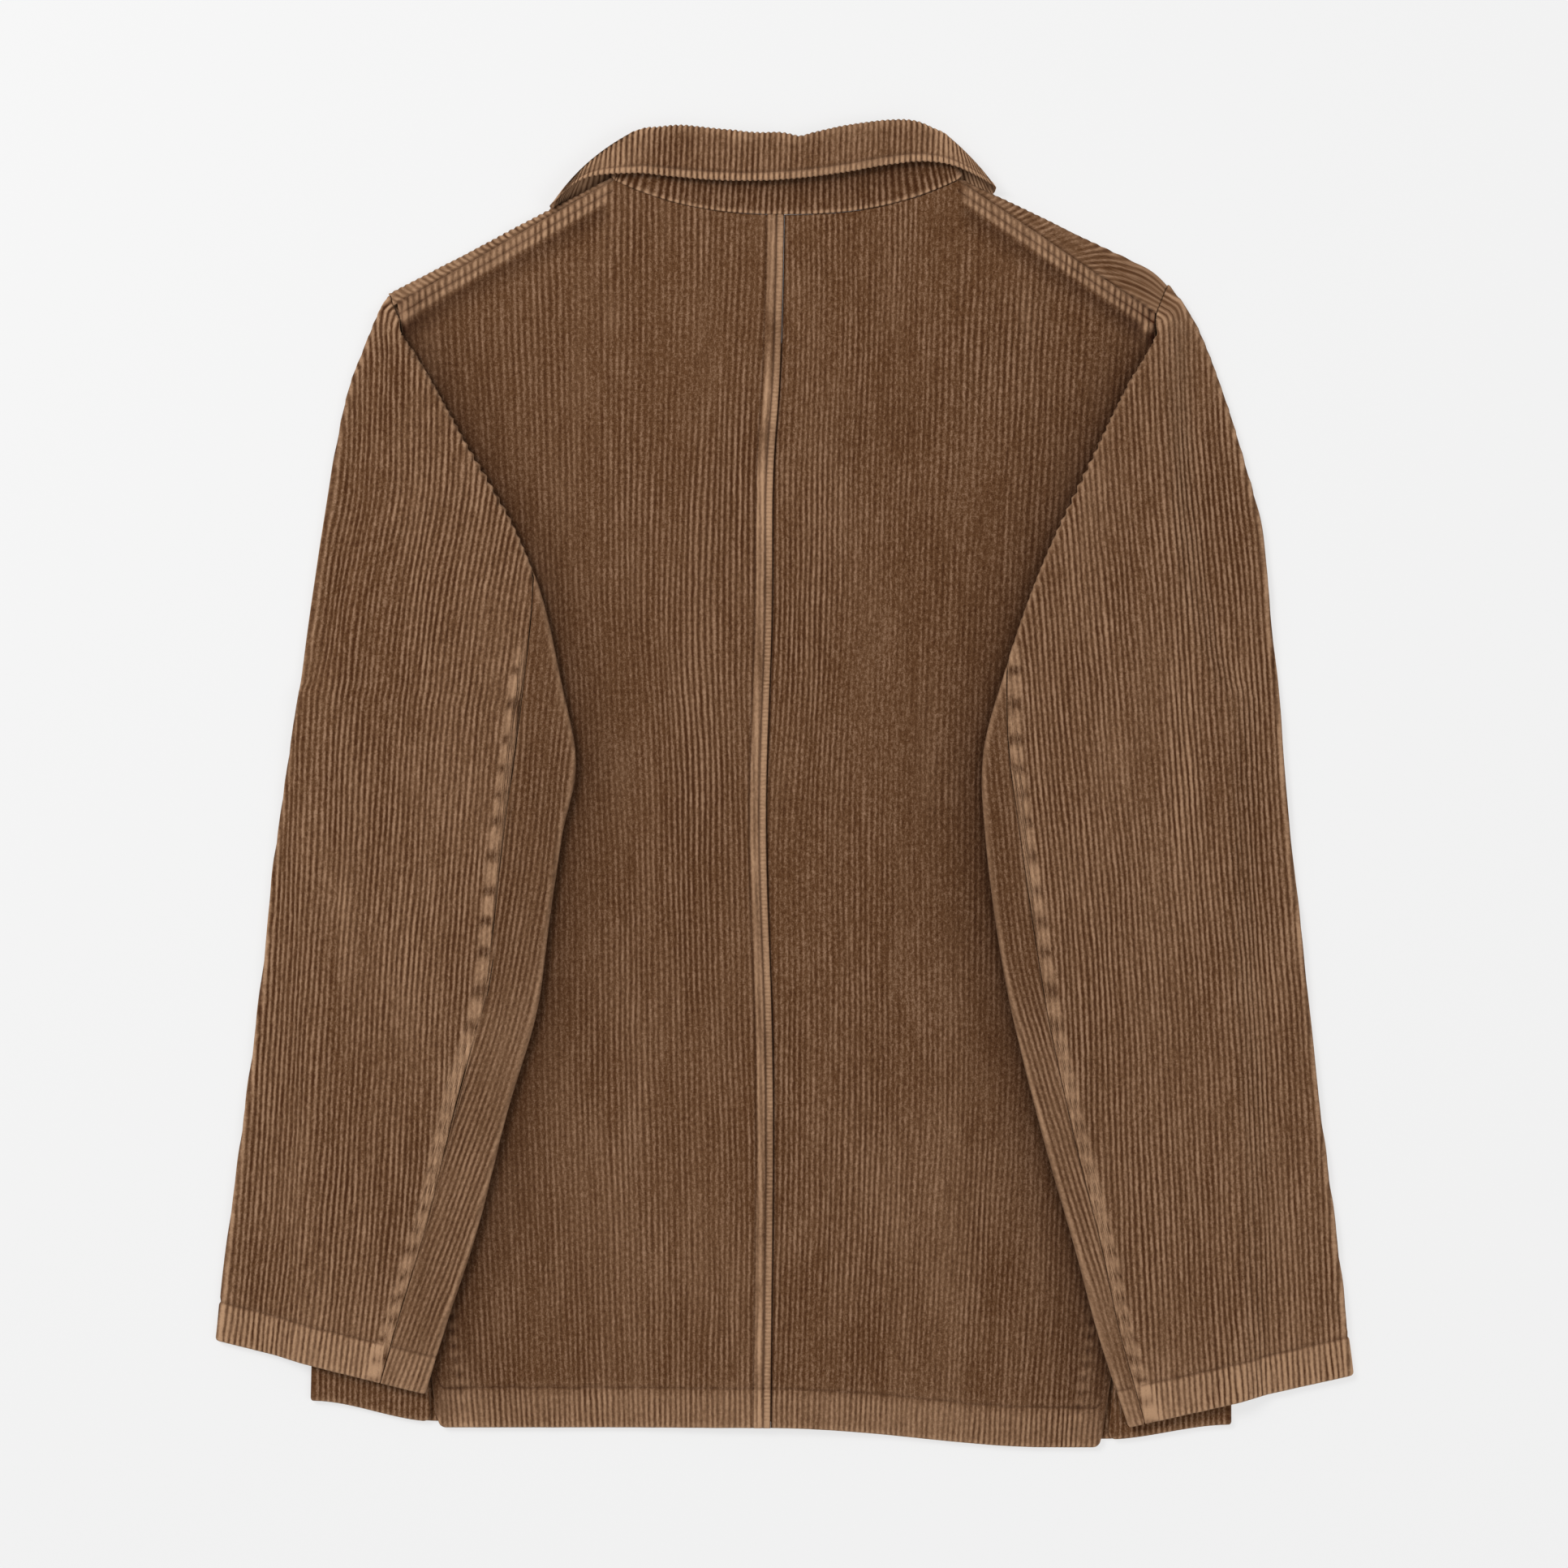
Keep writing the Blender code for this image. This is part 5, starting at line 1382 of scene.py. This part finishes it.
def grid_into(mesh, lay, layers):
    """Adds a grid of faces on the lay's rows and columns, each vertex knowing its outer point."""
    inner, outer = lay.faces()
    rows, columns = lay.wale.shape
    made = bmesh.ops.create_grid(mesh, x_segments=columns - 1, y_segments=rows - 1, size=1.0)
    for vertex in made["verts"]:
        column = round((vertex.co.x + 1) / 2 * (columns - 1))
        row = round((vertex.co.y + 1) / 2 * (rows - 1))
        vertex.co = inner[row, column] * MM
        vertex[layers["outer"]] = outer[row, column] * MM
        vertex[layers["cloth"]] = (lay.wale[row, column], lay.run[row, column], 0.0)
        vertex[layers["look"]] = [values[row, column] for values in (lay.wear, lay.pile, lay.deep)]


def cloth_piece(name, lays, seed):
    """Joins the lays where they share points and extrudes the cloth to its outer points."""
    mesh = bmesh.new()
    layers = {key: mesh.verts.layers.float_vector.new(key) for key in ("outer", "cloth", "look")}
    for lay in lays:
        grid_into(mesh, lay, layers)
    if len(lays) > 1:
        bmesh.ops.remove_doubles(mesh, verts=mesh.verts, dist=2e-6)
    grown = bmesh.ops.extrude_face_region(mesh, geom=mesh.faces, use_keep_orig=True)
    for vertex in grown["geom"]:
        if isinstance(vertex, bmesh.types.BMVert):
            vertex.co = vertex[layers["outer"]]
    bmesh.ops.recalc_face_normals(mesh, faces=mesh.faces)
    corduroy = washed_cotton_corduroy(f"washed cotton corduroy {name}", seed)
    piece = placed(f"{name}_cloth", finished(mesh, name, corduroy))
    piece.data.shade_smooth()
    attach(piece, "root")
    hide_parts(name)
    return piece


def jacket():
    made = {}
    for name in SIDES:
        rings = [Section(name, s) for s in SLEEVE_MARKS]
        made[f"back_{name}"] = back_lay(name)
        made[f"front_{name}"] = front_lay(name)
        made[f"top_sleeve_{name}"] = top_sleeve_lay(name, rings)
        made[f"under_sleeve_{name}"] = under_sleeve_lay(name, rings)
    made["collar_stand"] = stand_lay()
    made["collar_leaf"] = leaf_lay()
    for seed, (name, lays) in enumerate(made.items()):
        piece = cloth_piece(name, lays, seed)


# ---- floor, light and camera
def studio():
    mesh = bmesh.new()
    bmesh.ops.create_grid(mesh, x_segments=1, y_segments=1, size=2.0)
    paper = bpy.data.materials.new("matt white paper backdrop")
    shader_of(
        paper,
        Base_Color=to_linear("#898989"),
        Roughness=0.9,
        Emission_Color=(1, 1, 1, 1),
        Emission_Strength=0.65,
    )
    floor = placed("floor", finished(mesh, "floor", paper))
    for name, place, size, power in (
        ("key softbox", (-1.6, 1.3, 2.4), 1.2, 52),
        ("fill softbox", (1.8, -0.6, 2.6), 1.8, 22),
    ):
        lamp = bpy.data.lights.new(name, "AREA")
        lamp.size, lamp.energy = size, power
        holder = placed(name, lamp)
        holder.location = place
        holder.rotation_euler = (-holder.location).to_track_quat("-Z", "Y").to_euler()
    scene = bpy.context.scene
    scene.world = bpy.data.worlds.new("studio air")
    scene.world.use_nodes = True
    air = scene.world.node_tree.nodes["Background"].inputs
    air["Color"].default_value, air["Strength"].default_value = (1, 1, 1, 1), 0.4
    camera = bpy.data.cameras.new("camera")
    camera.lens, camera.sensor_width = 85, 36
    scene.camera = placed("camera", camera)
    scene.camera.location = (0, 0, 0.945 * camera.lens / camera.sensor_width)  # frames 945 mm
    scene.view_settings.view_transform = "Standard"


jacket()
studio()
bpy.context.view_layer.update()
